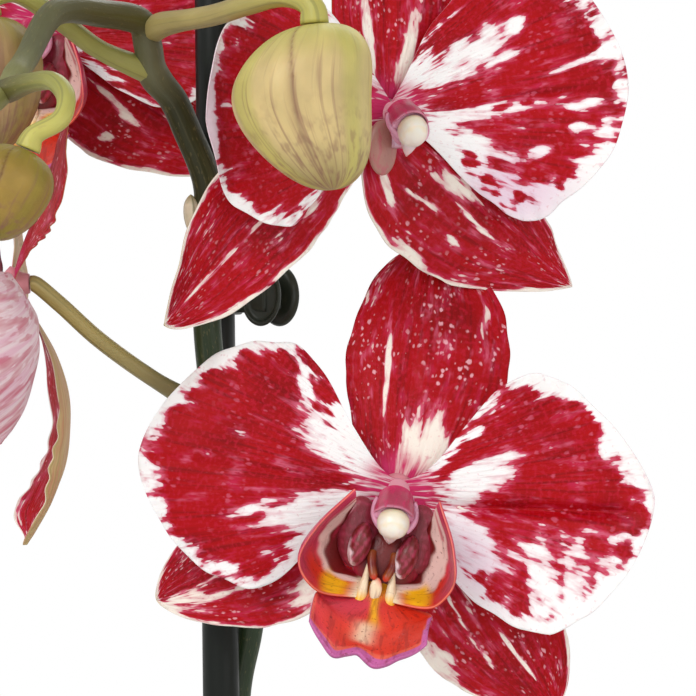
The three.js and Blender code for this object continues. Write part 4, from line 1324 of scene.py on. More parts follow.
        coat = coated(
            Shade.ORANGE_RED,
            (0.55 * smooth(-s + 0.5 * np.sin(7 * t), -0.2, 1.0), Shade.ROSE),
            (0.9 * strip * (1 - smooth(t, 0.36, 0.56)), Shade.YELLOW),
            (0.75 * peach, Shade.PETAL_CREAM),
            (0.8 * (1 - smooth(t, 0.08, 0.26)), Shade.YELLOW),
            (0.5 * smooth(np.maximum(outer, np.abs(s) - 0.14), 0.8, 0.84), Shade.SALMON),
            (smooth(outer + 0.03 * smooth(-s, 0.5, 1), 0.87, 0.89), Shade.VIOLET),
        )
        marks = {"coat": coat, "fan": np.stack([s * 10, t * 22, s * 0 + 9], -1), "tint": (0.35, 0.75, 0)}
        behind = {"coat": tone(Shade.VIOLET), "tint": (0, 0, 0)}
        mould.blade(middle, mix(0.2, 0.45, 1 - np.abs(s) ** 4), marks, behind)

    def lip_mould(self) -> Mould:
        """The lip: throat, two ears, the middle lobe and the callus between them.

        The callus is two mottled lumps, two brown horns, two cream ridges and a small tongue.

        Returns:
            The mould, in the flower's frame.
        """
        mould = Mould()
        throat = ball((6.2, 5.6, 2.1), (0, -12.5, 3.3), 44)
        coat = coated(Shade.MAROON, (0.6 * smooth(np.abs(throat[..., 0]), 3, 6), Shade.CERISE))
        mould.flesh(throat, coat, (0.6, 0.7))
        for side in (-1, 1):
            cheek = ball((3.6, 6.4, 1.8), (side * 5.4 - 0.5, -7.8, 3.4), 40)
            fine = smooth(np.sin(4.2 * cheek[..., 1] + 0.5 * np.sin(cheek[..., 0])), 0.5, 1)
            mould.flesh(cheek, coated(Shade.MAROON, (0.3 + 0.4 * fine, Shade.HOOD)), (0.4, 0.5), cheek * 1.2)
        self.ears(mould)
        self.tongue(mould)
        for place in ((-5.2, -9.8, 6.0), (3.3, -10.9, 6.0)):
            lump = ball((2.0, 4.0, 2.0), place, 36)
            lump[..., 0] += 0.12 * (lump[..., 1] - place[1])
            x, y, _ = np.moveaxis(lump - place, -1, 0)
            pale = smooth(-0.42 * x - 0.12 * y + 0.1 * np.sin(3 * y), 0.62, 0.86)
            mottle = smooth(ripple(lump[..., 0] * 9, lump[..., 1] * 7, place[0]), -0.3, 0.6)
            coat = coated(Shade.MAROON, (0.8 * mottle, Shade.HOOD), (pale, Shade.BLUSH_BACK))
            mould.flesh(lump, coat, (0.5, 0.4), lump * 1.3 + place[0])
        u = np.linspace(0, 1, 22)
        brown = ((0, Shade.RUST), (0.5, Shade.MAROON), (0.8, Shade.RUST), (1, Shade.ORANGE_RED))
        cream = ((0.55, Shade.PETAL_CREAM), (0.75, Shade.YELLOW), (0.92, Shade.ORANGE_RED))
        for side in (-1, 1):
            horn = [
                (side * 2.1 - 0.8, -10.8, 5.2), (side * 1.8 - 0.8, -13, 6.4), (side * 0.9 - 0.9, -15.6, 7.4)
            ]
            ridge = [(side * 2.2 - 1, -13, 6), (side * 2.4 - 1, -16, 6), (side * 2.8 - 1.2, -21.6, 6.9)]
            for path, radius, stops, tint, seed in (
                (horn, (0.85 - 0.1 * u) * domed(u), brown, (0.6, 0.5), 3),
                (ridge, (0.3 + 1.15 * u) * domed(u, 0.66), cream, (0.1, 0.2), 6),
            ):
                rings = tube(evenly(path, 22), radius, 20)
                mould.flesh(rings, painted(*stops, at=u[:, None]), tint, along_skin(rings, side + seed))
        flap = ball((1.1, 2.1, 0.5), (-1.3, -17.2, 7.0), 24)
        pale = smooth(-flap[..., 0] - flap[..., 1], 15.6, 18)
        mould.flesh(flap, coated(Shade.ORANGE_RED, (pale, Shade.PETAL_CREAM)), (0.4, 0.3))
        return mould

    def dress(self, finishes: Finishes) -> None:
        """Casts the flower's pieces in their places.

        Args:
            finishes: the plant's materials.
        """
        sepals = self.whorl(self.sepals, SEPAL_ROOT, self.sepal_hub, 110, 64)
        petals = self.whorl(self.petals, PETAL_ROOT, self.petal_hub, 120, 110)
        pieces = [
            ("sepals", sepals, finishes.sepal, "sepal"),
            ("petals", petals, finishes.petal, "petal"),
            ("column", self.column_mould(), finishes.column, "column"),
            ("anther_cap", self.cap_mould(), finishes.cap, "anther_cap"),
        ]
        if self.lip:
            pieces.append(("lip", self.lip_mould(), finishes.lip, "lip"))
        leaning = np.array([[1, 0, self.nod[0]], [0, 1, self.nod[1]], [0, 0, 1]])
        for part, mould, finish, slot in pieces:
            lean = leaning if part in ("column", "anther_cap") else np.eye(3)
            mould.turned(self.matrix() @ lean, self.place)
            mould.cast(f"{self.name}_bloom_{part}", finish, slot, f"bloom_{self.name}_{part}")


BLOOMS = (
    Bloom(
        "lower", (34.7, -24, 434.3), 0, 0, -8.5,
        sepals=(
            replace(
                DORSAL, length=44.3, lift=-11.5, bow=1, cup=-1.2, ruffle=0.8, waves=3.3,
                patches=((7.5, -3, 7.4, 4.4, -8), (21, 4.6, 9, 0.5, 4, -0.7)),
            ),
            replace(
                LATERAL_LEFT, angle=213.4, length=48, lift=-10, bow=1, cup=1.5, ruffle=0.9, waves=4,
                patches=(
                    (20, 10, 5, 3), (36, 4, 8, 0.7, -4, -0.5), (31, 0, 9, 0.6, 6, -0.5),
                    (44, 2, 5, 1.4, 0, -0.8),
                ),
            ),
            replace(
                LATERAL_RIGHT, length=49.5, left=(11, 0.68, 0.6, 0.6), right=(13, 0.52, 0.8, 0.7),
                lift=-8, bow=1, cup=1.6, ruffle=0.7, waves=3.5,
                patches=(
                    (24.5, -3.9, 6, 0.25, -7, -0.75), (37, 0.6, 8, 0.35, 3, -0.75),
                    (28, -11.8, 5, 1.8, 18, -0.9), (34.5, -4.3, 2.4, 0.4, -2, -0.8),
                    (19, -0.5, 6, 0.2, -4, -0.7),
                ),
            ),
        ),
        petals=(
            replace(
                PETAL_LEFT, lift=1, bow=2.6, cup=-2.6, ruffle=1.1, waves=4.2,
                patches=(
                    (15.2, -19.2, 7.6, 2.5, -50, 3.2), (9.8, -6.6, 9.6, 3.6, -30), (8, -8.6, 6, 2.2, -48),
                    (17.5, -8.6, 3.6, 0.9, -22, -0.7), (18.4, -17, 4.2, 1.1, -66),
                    (14.5, 4.8, 8.5, 3.0, 20), (24.5, 5.4, 4.6, 1.0, 22, -0.9),
                    (14.5, 11, 5, 2.4, 52), (33, -21, 6, 0.8, 40, -0.6),
                ),
            ),
            replace(
                PETAL_RIGHT, lift=2, bow=-1.6, cup=2.6, ruffle=1.3, waves=3.6, phase=1, fold=(-2.6, 1.4, 2.2),
                patches=(
                    (31, -9.6, 13, 4.2, 4, 0.35), (17, 14, 7, 2, 42, 1.6),
                    (14.2, 3.0, 7.8, 3.2, 26), (10.2, 6.2, 4.2, 1.1, 45, 2.4),
                    (13.4, 11, 2.1, 0.9, 36, -0.9), (17.6, 17.2, 6, 1.6, 42, 2.2),
                    (13.2, -10.5, 10, 5, -66), (26.6, -16, 2.2, 8.5, 4), (34.6, -17.6, 7, 6.4, 0),
                    (29.8, -12.2, 0.9, 4, 8, 0.7), (38.4, 13.5, 3.6, 6.5, 8, -0.9),
                    (27, -22.2, 5, 1.0, 8, 0.6), (18.7, -16.6, 1.9, 2.8, 0, 1.3),
                    (15.7, -14.2, 1.0, 1.1, 0, 1.4), (15.9, -18.4, 0.8, 0.7, 0, 1.2),
                    (26, 21.5, 12, 2.4, -14, -0.6), (20, -21.6, 7, 1.9, -12, -0.7),
                ),
                blush=((14, -12, 9, 5, -42, 0.6, 0.8),),
            ),
        ),
    ),
    Bloom(
        "upper", (34.2, -22, 501.8), 28, 0, 0,
        sepals=(
            replace(
                DORSAL, angle=87, length=44, lift=-6, bow=1, cup=1.5, ruffle=0.8,
                patches=((12, -4, 11, 1.2, -14), (14, 4, 7, 1, 10)),
            ),
            Tepal(
                223, 55.4, (10.7, 0.58, 1.25, 0.6), (10.4, 0.55, 0.8, 0.9), lift=-7, bow=2, cup=1.6,
                ruffle=0.4, sway=-4, specks=0.5,
                patches=((40, -1.6, 13, 0.32, 5, -0.8), (23, 1.5, 5, 1.1, 0, -0.6)),
            ),
            Tepal(
                320.6, 48, (8.5, 0.55, 0.8, 0.9), (17, 0.38, 0.42, 0.85), lift=4, bow=0.6, cup=-0.8,
                ruffle=0.4,
                patches=(
                    (8, -9.7, 6, 0.8, -35, -0.9), (14, -7.5, 5, 0.5, 8, -0.8), (19, -0.8, 5.5, 2.2, 8, -0.7),
                    (26, -3.6, 7, 0.4, -3, -0.8), (18.5, -16.4, 4, 1.1, 4, -0.9), (24, -9, 1.4, 0.7, 0, -0.9),
                ),
            ),
        ),
        petals=(
            Tepal(
                184, 42, (18.4, 0.6, 2.2, 0.56), (22, 0.5, 1, 0.5), lift=3, bow=1, cup=0.6, ruffle=0.9,
                waves=3.4, curl=3.4, veins=True, margin=0.5, specks=0.4, ground=1.6,
                patches=((41, -3, 3, 12, 0, -0.8),),
                blush=((41, -3, 5, 14, 0, 0.7),),
            ),
            Tepal(
                8, 44, (24, 0.55, 1.2, 0.42), (21.7, 0.56, 2, 0.65), lift=10, bow=-2.6, cup=1.6, ruffle=1.3,
                waves=4.4, phase=2, veins=True, margin=0.9, specks=0.5, fold=(-0.6, 1.4, 0.9),
                patches=(
                    (14, 8.4, 11.5, 3.7, 20), (21, 8, 6, 1.5, 8, -0.9),
                    (26.3, 13.5, 1.9, 1.1, 30, -1.1), (38, 5.8, 5.5, 0.8, 16, -0.9),
                    (19, -1.5, 13, 1.3, 2, -1.2), (13, -8, 11, 5.4, -34), (24, -18.5, 12, 4.2, -10),
                    (36.9, -2.4, 4.4, 0.8, -2, -1), (34.9, -6.4, 1.6, 1.0, 0, -0.8),
                    (27.6, -10.2, 2.4, 1.2, 20, -0.8), (19.6, -4.9, 3.4, 0.9, 4, 1.3),
                    (22.3, -1.2, 1.9, 0.7, 6, 1.3), (27.4, -0.7, 1.1, 0.7, 0, 1.0),
                    (20.8, -11.6, 3.0, 1.2, -33, 1.5), (27.4, -13.8, 4.2, 1.5, 14, 1.3),
                    (14.6, -10.2, 1.7, 1.7, 0, 2.6), (17.1, -14.6, 1.3, 1.3, 0, 2.6),
                    (18.6, -16.3, 1.2, 1.1, 0, 2.6), (19.1, -19.4, 1.0, 1.3, 0, 2.6),
                    (20.9, -19.4, 1.0, 1.3, 0, 2.6), (22.6, -17.8, 1.0, 1.1, 0, 2.4),
                    (30.9, -16.3, 1.0, 1.2, 0, 2.4), (15, 17.5, 10, 4, 48, 3.4),
                ),
                blush=((22, -16, 9, 6, 0, 0.8, 0.7),),
            ),
        ),
        lip=False,
        nod=(-0.15, 0.17),
    ),
    Bloom(
        "left", (-38.4, -12, 471.5), -93, 2, -36,
        sepals=(
            replace(
                DORSAL, angle=90, length=35, left=(12, 0.66, 1.6, 0.5), right=(11, 0.7, 2.2, 0.45),
                lift=-14, bow=-2.8, cup=-1, ruffle=0.3, twist=1,
            ),
            replace(LATERAL_LEFT, angle=214, length=40, lift=3, cup=1, ruffle=0.8),
            replace(LATERAL_RIGHT, angle=314, lift=-2, bow=-9, cup=3, ruffle=0.5, twist=-4.4, ground=1.3),
        ),
        petals=(
            Tepal(
                192, 34, (17, 0.5, 2, 0.5), (14, 0.52, 1, 0.5), lift=7, cup=1, ruffle=1,
                veins=True, margin=1.3,
            ),
            Tepal(
                8, 42, (12, 0.55, 1.5, 0.6), (19, 0.5, 1.4, 0.5), lift=5, bow=-10.6, cup=9, ruffle=1,
                twist=2.5, ground=0.1, veins=True,
            ),
        ),
    ),
    Bloom(
        "back", (-34, 27, 522.3), -6, 4, -4,
        sepals=(
            replace(DORSAL, angle=90, lift=-6, bow=1, cup=1.5, ruffle=0.8),
            replace(LATERAL_LEFT, angle=216, lift=-8, bow=1, cup=1.5, ruffle=0.8),
            replace(
                LATERAL_RIGHT, angle=329, length=48, lift=-5, bow=1, cup=1.5, ruffle=0.6,
                left=(12, 0.5, 0.7, 0.7), right=(14.4, 0.42, 0.6, 0.75),
                patches=((22.7, -10.4, 1.5, 0.8, 30), (22, -4.3, 8, 0.7, -9, -0.9)),
            ),
        ),
        petals=(
            replace(PETAL_LEFT, angle=178, lift=2, bow=2, cup=-1.5, ruffle=1),
            replace(PETAL_RIGHT, angle=8, lift=3, bow=1, cup=1, ruffle=1.1, right=(17, 0.55, 1.4, 0.48)),
        ),
    ),
)


@dataclass(frozen=True)
class Bud:
    """A nodding bud of three closed sepals."""

    name: str
    top: Point
    tip: Point
    belly: Point
    radius: float
    brown: float = 0.6
    wash: Point = (1, 1, 1)  # what its colour is multiplied by

    def dress(self, finishes: Finishes) -> None:
        """Casts the bud: rings whose radius swells by a power of a sine, nipped at three seams.

        Args:
            finishes: the plant's materials.
        """
        top, tip = np.array(self.top), np.array(self.tip)
        axis = spline([top, mix(top, tip, 0.45) + self.belly, tip], eased(90))
        down = unit(tip - top)
        across = unit(np.cross((0, -1, 0), down))
        outward = np.cross(down, across)
        t, angle = eased(90)[:, None], around(144)
        share = np.where(t < 0.42, t / 0.42, (1 - t) / 0.58)
        swell = np.sin(np.pi / 2 * share) ** np.where(t < 0.42, 0.34, 0.44)
        body = np.maximum(self.radius * swell, np.where(t < 0.5, 1.9, 0.25))
        third = 2 * np.pi / 3
        turned = angle - 0.6 - 0.4 * (1 - t) ** 2 + 0.1 * np.sin(5 * t)
        past = np.mod(np.pi / 3 - turned, third)
        seam = np.exp(-past / 0.035) + np.exp(-(third - past) / 0.05)
        lap = 0.07 * np.exp(-past / 0.4) - 0.03 * np.exp(-(third - past) / 0.12)
        rib = 0.006 * np.cos(15 * angle + 2 * np.sin(3 * t))
        reach = body * (1 + (lap + rib) * np.sin(np.pi * t) ** 0.5)
        ring = np.cos(angle)[:, None] * across + np.sin(angle)[:, None] * outward
        green = smooth(np.cos(3 * turned + 0.6) + 0.5 * np.cos(7 * angle), 0.1, 1.1)
        stops = ((0, Shade.BUD_GREEN), (0.3, Shade.BUD_TAN), (0.75, Shade.BUD_TAN), (1, Shade.STALK_TAN))
        coat = coated(
            painted(*stops, at=t),
            (0.7 * green, Shade.BUD_GREEN),
            (np.clip(0.7 * seam, 0, 1), Shade.BUD_BROWN),
        )
        fan = np.broadcast_arrays(np.cos(angle) * self.radius, t * 28, np.sin(angle) * self.radius)
        streaks = 0.25 + 0.4 * self.brown * smooth(t, 0.1, 0.5)
        tint = np.stack([streaks, self.brown * smooth(t, 0.4, 0.95), 0 * t], -1)
        mould = Mould()
        marks = {"coat": coat * self.wash, "fan": np.stack(fan, -1), "tint": tint}
        mould.skin(axis[:, None] + reach[..., None] * ring, marks)
        mould.cast(f"{self.name}_bud", finishes.bud, "bud", f"bud_{self.name}")


BUDS = (
    Bud("front", (20.4, -57.5, 514.4), (23.4, -58.6, 486.6), (-3.4, 0, 0), 11.8),
    Bud("left", (-26.4, -76, 492.2), (-33, -77, 478), (-0.4, 0, 0), 7.2, 0.8, (0.5, 0.42, 0.16)),
    Bud("rear", (-37.2, -33.4, 518), (-36, -34.6, 494.6), (0, 0, 0), 9.2, 0.6, (0.63, 0.53, 0.52)),
    Bud("fourth", (-43, -75, 488), (-46, -78, 475.4), (0, 0, 0), 5.4, 0.6, (0.6, 0.6, 0.3)),
    Bud("fifth", (-47.6, -77, 494.6), (-56.6, -80, 489.6), (0, 0, 0), 3.9, 0.6, (0.7, 0.75, 0.4)),
)
# Each stalk's points, from inside the stem outwards, and its radius, mm.
BLOOM_STALKS = {
    "lower": (((7.6, -4, 431.5), (12, -4.6, 434.6), (22, -3, 436.4), (30, -10, 435.4)), 1.75),
    "left": (((0.3, -6, 448.6), (-9, -9, 454), (-19.4, -12, 461.6), (-26.4, -13, 468)), 1.5),
    "upper": (((0.1, -7, 478), (8, -8.6, 484), (19, -5, 493), (26, -9.6, 499)), 1.75),
    "back": (
        (
            (0.6, -8, 489), (7, -4.6, 491.6), (9.8, 6, 495.6), (9.6, 26, 502), (3, 43, 510),
            (-12, 50.6, 517), (-26, 46, 521),
        ),
        1.75,
    ),
}
BUD_STALKS = {
    "rear": (
        (
            (-8.3, -16, 509.3), (-18.5, -20, 513.5), (-25.2, -26, 518.2), (-32.6, -31, 522.6),
            (-36.6, -33.2, 521.4),
        ),
        1.75,
    ),
    "front": (
        (
            (-9, -19.6, 517.2), (-6.6, -26, 517.6), (2.5, -38, 518), (9, -47, 519), (15.3, -54, 519.7),
            (19.2, -57, 518.2),
        ),
        1.85,
    ),
    "left": (
        (
            (-31.6, -57.6, 503.3), (-27, -64, 504.2), (-22.6, -69, 504), (-20.3, -72.4, 501.1),
            (-21, -74.8, 497.4),
        ),
        1.6,
    ),
    "fourth": (((-37.6, -68.6, 497.6), (-40.6, -72.6, 496.4), (-42, -74, 492)), 1.3),
    "fifth": (((-38.8, -70.6, 496.8), (-43, -74, 496)), 1.2),
}
# The colours of a stalk at the stem, half way and at its seat.
OLIVE = (Shade.STEM_OLIVE, Shade.STALK_TAN, Shade.STALK_TAN)
LIGHT = (Shade.STALK_GREEN, Shade.STALK_GREEN, Shade.BUD_GREEN)
STALK_SHADES = {
    "front": (Shade.STALK_TAN, Shade.STALK_TAN, Shade.BUD_GREEN),
    "left": (Shade.STEM_BROWN, Shade.STALK_GREEN, Shade.BUD_GREEN),
}


@dataclass
class Spike:
    """The flower spike: its main stem, joint rings, bracts and the stalk of every flower."""

    path: tuple[Point, ...] = (
        (-4.6, 3, 132), (0.4, 8.6, 158), (5.4, 11, 190), (7, 10.6, 240), (6.2, 9.6, 300), (5.6, 9.2, 350),
        (5, 8.8, 394.6), (7.3, 7.4, 406.8), (9.2, 2.5, 420.5), (7.4, -4, 433.8), (2.8, -5.9, 444.9),
        (0.3, -5.4, 461.5), (0.1, -6.5, 476.1), (0.2, -9, 490), (-3.3, -12, 499.6), (-5.7, -14, 505),
        (-9.2, -16, 509.6), (-10, -18.5, 514.4), (-11, -20.8, 518.2), (-17.9, -28, 519.3),
        (-25.1, -38, 518.4), (-29.3, -48, 509.3), (-32.2, -58, 502.9), (-35.9, -66, 498.6),
        (-40.2, -72, 496.6),
    )
    foot_radius: float = 3.1
    tip_radius: float = 1.7
    bracts: tuple[Pair, ...] = ((205, 20), (268, 200), (335, 40))  # height, and the way each faces, degrees
    knots: tuple[Point, ...] = ((2.8, -5.9, 442), (0.1, -6.5, 477), (-8.3, -16, 509.3), (-30, -52, 506))
    # Stops along the stem: its own green, dark and brown colours, and a narrow olive band from 0.837 to 0.849
    # that is a painted highlight at a joint.
    colours: tuple[tuple[float, Shade], ...] = (
        (0.72, Shade.STEM_GREEN), (0.77, Shade.STEM_DARK), (0.82, Shade.STEM_DARK), (0.837, Shade.STEM_OLIVE),
        (0.849, Shade.STEM_OLIVE), (0.862, Shade.STEM_BROWN), (0.885, Shade.STEM_BROWN),
        (0.93, Shade.STEM_OLIVE), (1, Shade.STALK_GREEN),
    )
    mould: Mould = field(default_factory=Mould)

    def centres(self) -> Array:
        """Even points along the stem's axis."""
        return evenly(self.path, 620)

    def radius(self, u: Array) -> Array:
        """The stem's radius: two soft steps down from the foot's.

        Args:
            u: shares of the length.

        Returns:
            Radii in mm.
        """
        slim = self.foot_radius - 0.5
        return self.foot_radius - 0.5 * smooth(u, 0.3, 0.7) - (slim - self.tip_radius) * smooth(u, 0.84, 1.02)

    def stem(self) -> None:
        """Adds the main stem, green below and olive above, with a bell round it at each joint and a painted
        highlight at one joint.
        """
        centres = self.centres()
        u = np.linspace(0, 1, len(centres))
        radius = self.radius(u)
        for height, _ in self.bracts:
            radius = radius + 0.42 * bell(centres[:, 2], height, 1.6) * (u < 0.7)
        for knot in self.knots:
            radius = radius + 0.3 * bell(np.linalg.norm(centres - knot, axis=1), 0, 2.2)
        rings = tube(centres, radius, 28)
        self.mould.flesh(rings, painted(*self.colours, at=u[:, None]), (0.2, 0.15), along_skin(rings, 3))

    def stalk(
        self, points: Sequence[Point], end: Array, out: Array, radius: float, shades: Sequence[Shade],
        lead: float = 2.4, flare: float = 0.0,
    ) -> None:
        """Adds a stalk through points to its seat.

        The radius swells to a knob where it leaves the stem.

        Args:
            points: from inside the stem outwards.
            end: the seat.
            out: the way that leads out of the seat.
            radius: in mm.
            shades: colours at the stem, half way and at the seat.
            lead: length of its last straight part, mm.
            flare: how far it widens at the seat, mm.
        """
        centres = evenly([*points, end + out * lead, end], 90)
        u = np.linspace(0, 1, len(centres))[:, None]
        swell = radius + 0.5 * (1 - smooth(u, 0.02, 0.3)) + flare * smooth(u, 0.84, 1) ** 2
        rings = tube(centres, swell * (1 + 0.03 * np.cos(6 * around(22) + 2.4 * u)), 22)
        coat = painted(*zip((0, 0.5, 1), shades), at=u)
        self.mould.flesh(rings, coat, (0.35, 0.3), along_skin(rings, radius * 7 + end[0]))

    def bract(self, at: Array, facing: float, length: float, width: float, shade: Shade) -> None:
        """Adds a pointed scale pressed against the stem round a resting bud.

        Args:
            at: where its foot sits on the stem's axis.
            facing: the way it faces, degrees.
            length: upwards, mm.
            width: half its breadth, mm.
            shade: its colour.
        """
        out, side = compass(facing)
        t, turn = np.linspace(0, 1, 30)[:, None], around(24)[:, None]
        wide = width * (0.25 + 0.75 * np.sin(np.pi * np.minimum(0.12 + t * 0.86, 1)) ** 0.6)
        wide = wide * np.sqrt(np.clip(1 - (np.clip(t - 0.7, 0, 1) / 0.3) ** 2, 0.01, 1))
        centre = at + out * (2.1 + 0.5 * t) + UP * (length * t)
        rings = centre[:, None] + (side * np.cos(turn) + out * 0.62 * np.sin(turn)) * wide[..., None]
        coat = painted((0.7, shade), (1, Shade.STALK_TAN), at=t)
        self.mould.flesh(rings, coat, (0.7, 0.3), along_skin(rings, facing))

    def dress(self, finishes: Finishes) -> None:
        """Casts the whole spike.

        Args:
            finishes: the plant's materials.
        """
        self.stem()
        blooms = {bloom.name: bloom for bloom in BLOOMS}
        for name, (points, radius) in BLOOM_STALKS.items():
            matrix = blooms[name].matrix()
            face = matrix @ np.array([0, 0, HUB_BACK - GAP]) + blooms[name].place
            self.stalk(points, face, -matrix[:, 2], radius, OLIVE, 0.5 if name == "left" else 2.4)
        buds = {bud.name: bud for bud in BUDS}
        for name, (points, radius) in BUD_STALKS.items():
            top = np.array(buds[name].top)
            up = unit(top - buds[name].tip)
            self.stalk(points, top + up * GAP, up, radius, STALK_SHADES.get(name, LIGHT), flare=0.35 * radius)
        centres = self.centres()
        for height, facing in self.bracts:
            near = centres[np.abs(centres[:, 2] - height).argmin()]
            self.bract(near, facing, 15, 3.6, Shade.STALK_GREEN)
        self.bract(np.array([-0.2, -7.9, 481.6]), 190, 6.5, 2.6, Shade.CREAM)
        self.mould.cast("spike_with_stalks", finishes.stem, "flower_spike", "flower_spike")


@dataclass(frozen=True)
class Leaf:
    """A strap shaped leaf that arches out from the crown."""

    facing: float
    height: float
    length: float
    width: float
    rise: float
    droop: float
    crown: Point = (-12.0, -6.0, 0.0)
    joint: float = 15.0  # mm from the crown's axis to where its blade starts

    def ring(self, shares: Array, start: float, columns: int, grow: float = 0.0) -> Array:
        """Rings of the leaf's section: a channel, thick along its keel.

        The midline's slope falls evenly from rise by droop, and each side lifts by the power
        1.5 of its share.

        Args:
            shares: shares of the length.
            start: distance of the joint from the crown's axis.
            columns: steps across.
            grow: added thickness, mm.

        Returns:
            Grid of points, ring by ring.
        """
        out, side = compass(self.facing)
        t = shares[:, None]
        steps = 24
        slope = np.radians(self.rise - self.droop * ((np.arange(steps) + 0.5) / steps) * t)
        reach = start + (np.cos(slope) * (self.length * t) / steps).sum(1)[:, None]
        height = self.height + (np.sin(slope) * (self.length * t) / steps).sum(1)[:, None]
        pitch = np.radians(self.rise - self.droop * t)
        up = out * -np.sin(pitch) + UP * np.cos(pitch)
        base = 0.3 + 0.7 * np.sin(np.pi / 2 * np.minimum(t / 0.45, 1)) ** 1.1
        tip = np.where(t > 0.45, np.cos(np.pi / 2 * np.clip((t - 0.45) / 0.55, 0, 0.9995)) ** 0.5, 1)
        half = self.width * base * tip + grow
        centre = self.crown + out * reach + UP * height
        channel = 0.62 - 0.42 * smooth(t, 0, 0.4)
        s = np.linspace(-1, 1, columns + 1)
        rows = []
        for face, order in ((1, s), (-1, s[::-1])):
            away = np.abs(order)
            thick = mix(3.4, 2.4, smooth(t, 0, 0.4)) * (1 - 0.9 * order**2) + grow
            thick = np.maximum(thick * np.minimum(half, 6) / 6, 0.25)
            groove = 0.5 * bell(order, 0, 0.06) * smooth(t, 0.02, 0.2) * (1 - smooth(t, 0.85, 1))
            wave = 0.5 * ripple(reach * 0.4, order * self.width * 0.5, self.facing) * smooth(t, 0.1, 0.4)
            lifted = half * channel * away**1.5 + face * thick / 2 - groove + wave * away
            rows.append(centre[:, None] + side * (order * half)[..., None] + up[:, None] * lifted[..., None])
        return np.concatenate(rows, 1)

    def dress(self, index: int, finishes: Finishes) -> None:
        """Casts the leaf, glossy above and duller below.

        Args:
            index: its number on the crown.
            finishes: the plant's materials.
        """
        t = np.concatenate([np.linspace(0, 0.94, 70), 1 - 0.06 * (1 - np.linspace(0.05, 1, 24)) ** 2])
        columns = 48
        rings = self.ring(t, self.joint, columns)
        s = np.concatenate([np.linspace(-1, 1, columns + 1), np.linspace(1, -1, columns + 1)])
        above = np.repeat([1.0, 0.0], columns + 1)
        run, cross = np.broadcast_arrays(t[:, None], s)
        coat = coated(
            painted((0, Shade.SHEATH), (0.06, Shade.LEAF_PALE), (0.2, Shade.LEAF), at=run),
            (0.7 * bell(cross, 0, 0.045), Shade.LEAF_PALE),
            (0.6 * smooth(np.abs(cross), 0.965, 1), Shade.LEAF_PALE),
        )
        coat = coated(Shade.LEAF_BACK, (above, coat))
        fan = np.stack([cross * self.width, run * self.length, run * 0 + index * 7], -1)
        mould = Mould()
        mould.flesh(rings, coat, (0.22, 0.35), fan)
        mould.cast(f"leaf_blade_{index}", finishes.leaf, "leaf", f"leaf_{index}")


LEAVES = (
    Leaf(-42, 118, 205, 34, 26, 62),
    Leaf(147, 126, 198, 33, 28, 60),
    Leaf(-33, 134, 176, 31, 36, 60),
    Leaf(139, 141, 150, 28, 44, 58),
    Leaf(-38, 147, 104, 21, 58, 40),
)


@dataclass(frozen=True)
class Crown:
    """The short stem, clasped by a sheath under each leaf, with a furled leaf on top."""

    centre: Pair = (-12.0, -6.0)
    radius: float = 8.5

    def dress(self, finishes: Finishes) -> None:
        """Casts stem and sheaths.

        Args:
            finishes: the plant's materials.
        """
        r = self.radius
        corners = [(r - 3, 96), (r - 0.6, 103), (r, 110), (r, 136), (r - 2.4, 148), (3.6, 157), (0.6, 162)]
        outline = spline(corners, np.linspace(0, 1, 60))
        rings = lathe([(AXIS, 96), *outline, (AXIS, 162.2)], 48, self.centre)
        stops = ((96, Shade.BARK_PALE), (110, Shade.SHEATH), (150, Shade.LEAF_PALE), (162, Shade.STALK_GREEN))
        mould = Mould()
        mould.flesh(rings, painted(*stops, at=rings[..., 2]), (0.5, 0.4), along_skin(rings, 5))
        slices = 20
        coat = painted((0.8, Shade.SHEATH), (1, Shade.LEAF_PALE), at=np.linspace(0, 1, slices)[:, None])
        for leaf in LEAVES:
            rings = []
            for out in np.linspace(-2, 14.7, slices):
                deep = (leaf.joint - out) / (leaf.joint + 2)
                ring = replace(leaf, height=leaf.height - 3 * deep).ring(np.zeros(1), out, 24, 0.6 * deep)[0]
                below = len(ring) // 2
                ring[below:, 2] -= 12 * deep * np.sin(np.pi * (np.arange(below) + 0.5) / below)
                rings.append(ring)
            mould.flesh(np.array(rings), coat, (0.4, 0.4))
        mould.cast("crown_stem", finishes.leaf, "crown", "crown")


@dataclass(frozen=True)
class AerialRoot:
    """A silvery root that arches over the bark and dips into it."""

    radius: float
    path: tuple[Point, ...]

    def dress(self, index: int, finishes: Finishes) -> None:
        """Casts the root, a little knobbly and greener towards its tip.

        Args:
            index: its number.
            finishes: the plant's materials.
        """
        centres = evenly(self.path, 90)
        u = np.linspace(0, 1, len(centres))[:, None]
        knobs = 1 - 0.12 * u + 0.04 * np.sin(31 * u + index)
        radius = self.radius * knobs * (1 + 0.03 * np.sin(3 * around(24) + 9 * u))
        rings = tube(centres, radius * 0.97, 24)
        mould = Mould()
        coat = painted((0.75, Shade.ROOT), (1, Shade.ROOT_TIP), at=u)
        mould.flesh(rings, coat, (0.35, 0.5), along_skin(rings, index))
        mould.cast(f"aerial_root_skin_{index}", finishes.root, "aerial_root", f"aerial_root_{index}")


ROOTS = (
    AerialRoot(2.6, ((-17, -12, 113), (-25, -22, 120), (-31, -31, 116), (-32, -33, 100))),
    AerialRoot(2.3, ((-12, -13, 112), (-8, -25, 119), (2, -37, 117), (7, -41, 100))),
    AerialRoot(2.5, ((-18, -2, 112), (-30, 5, 117), (-40, 12, 113), (-40, 18, 98))),
    AerialRoot(2.2, ((-7, 0, 111), (1, 12, 118), (15, 24, 116), (22, 30, 98))),
    AerialRoot(2.4, ((-13, 2, 110), (-15, 18, 118), (-13, 34, 116), (-10, 40, 98))),
)


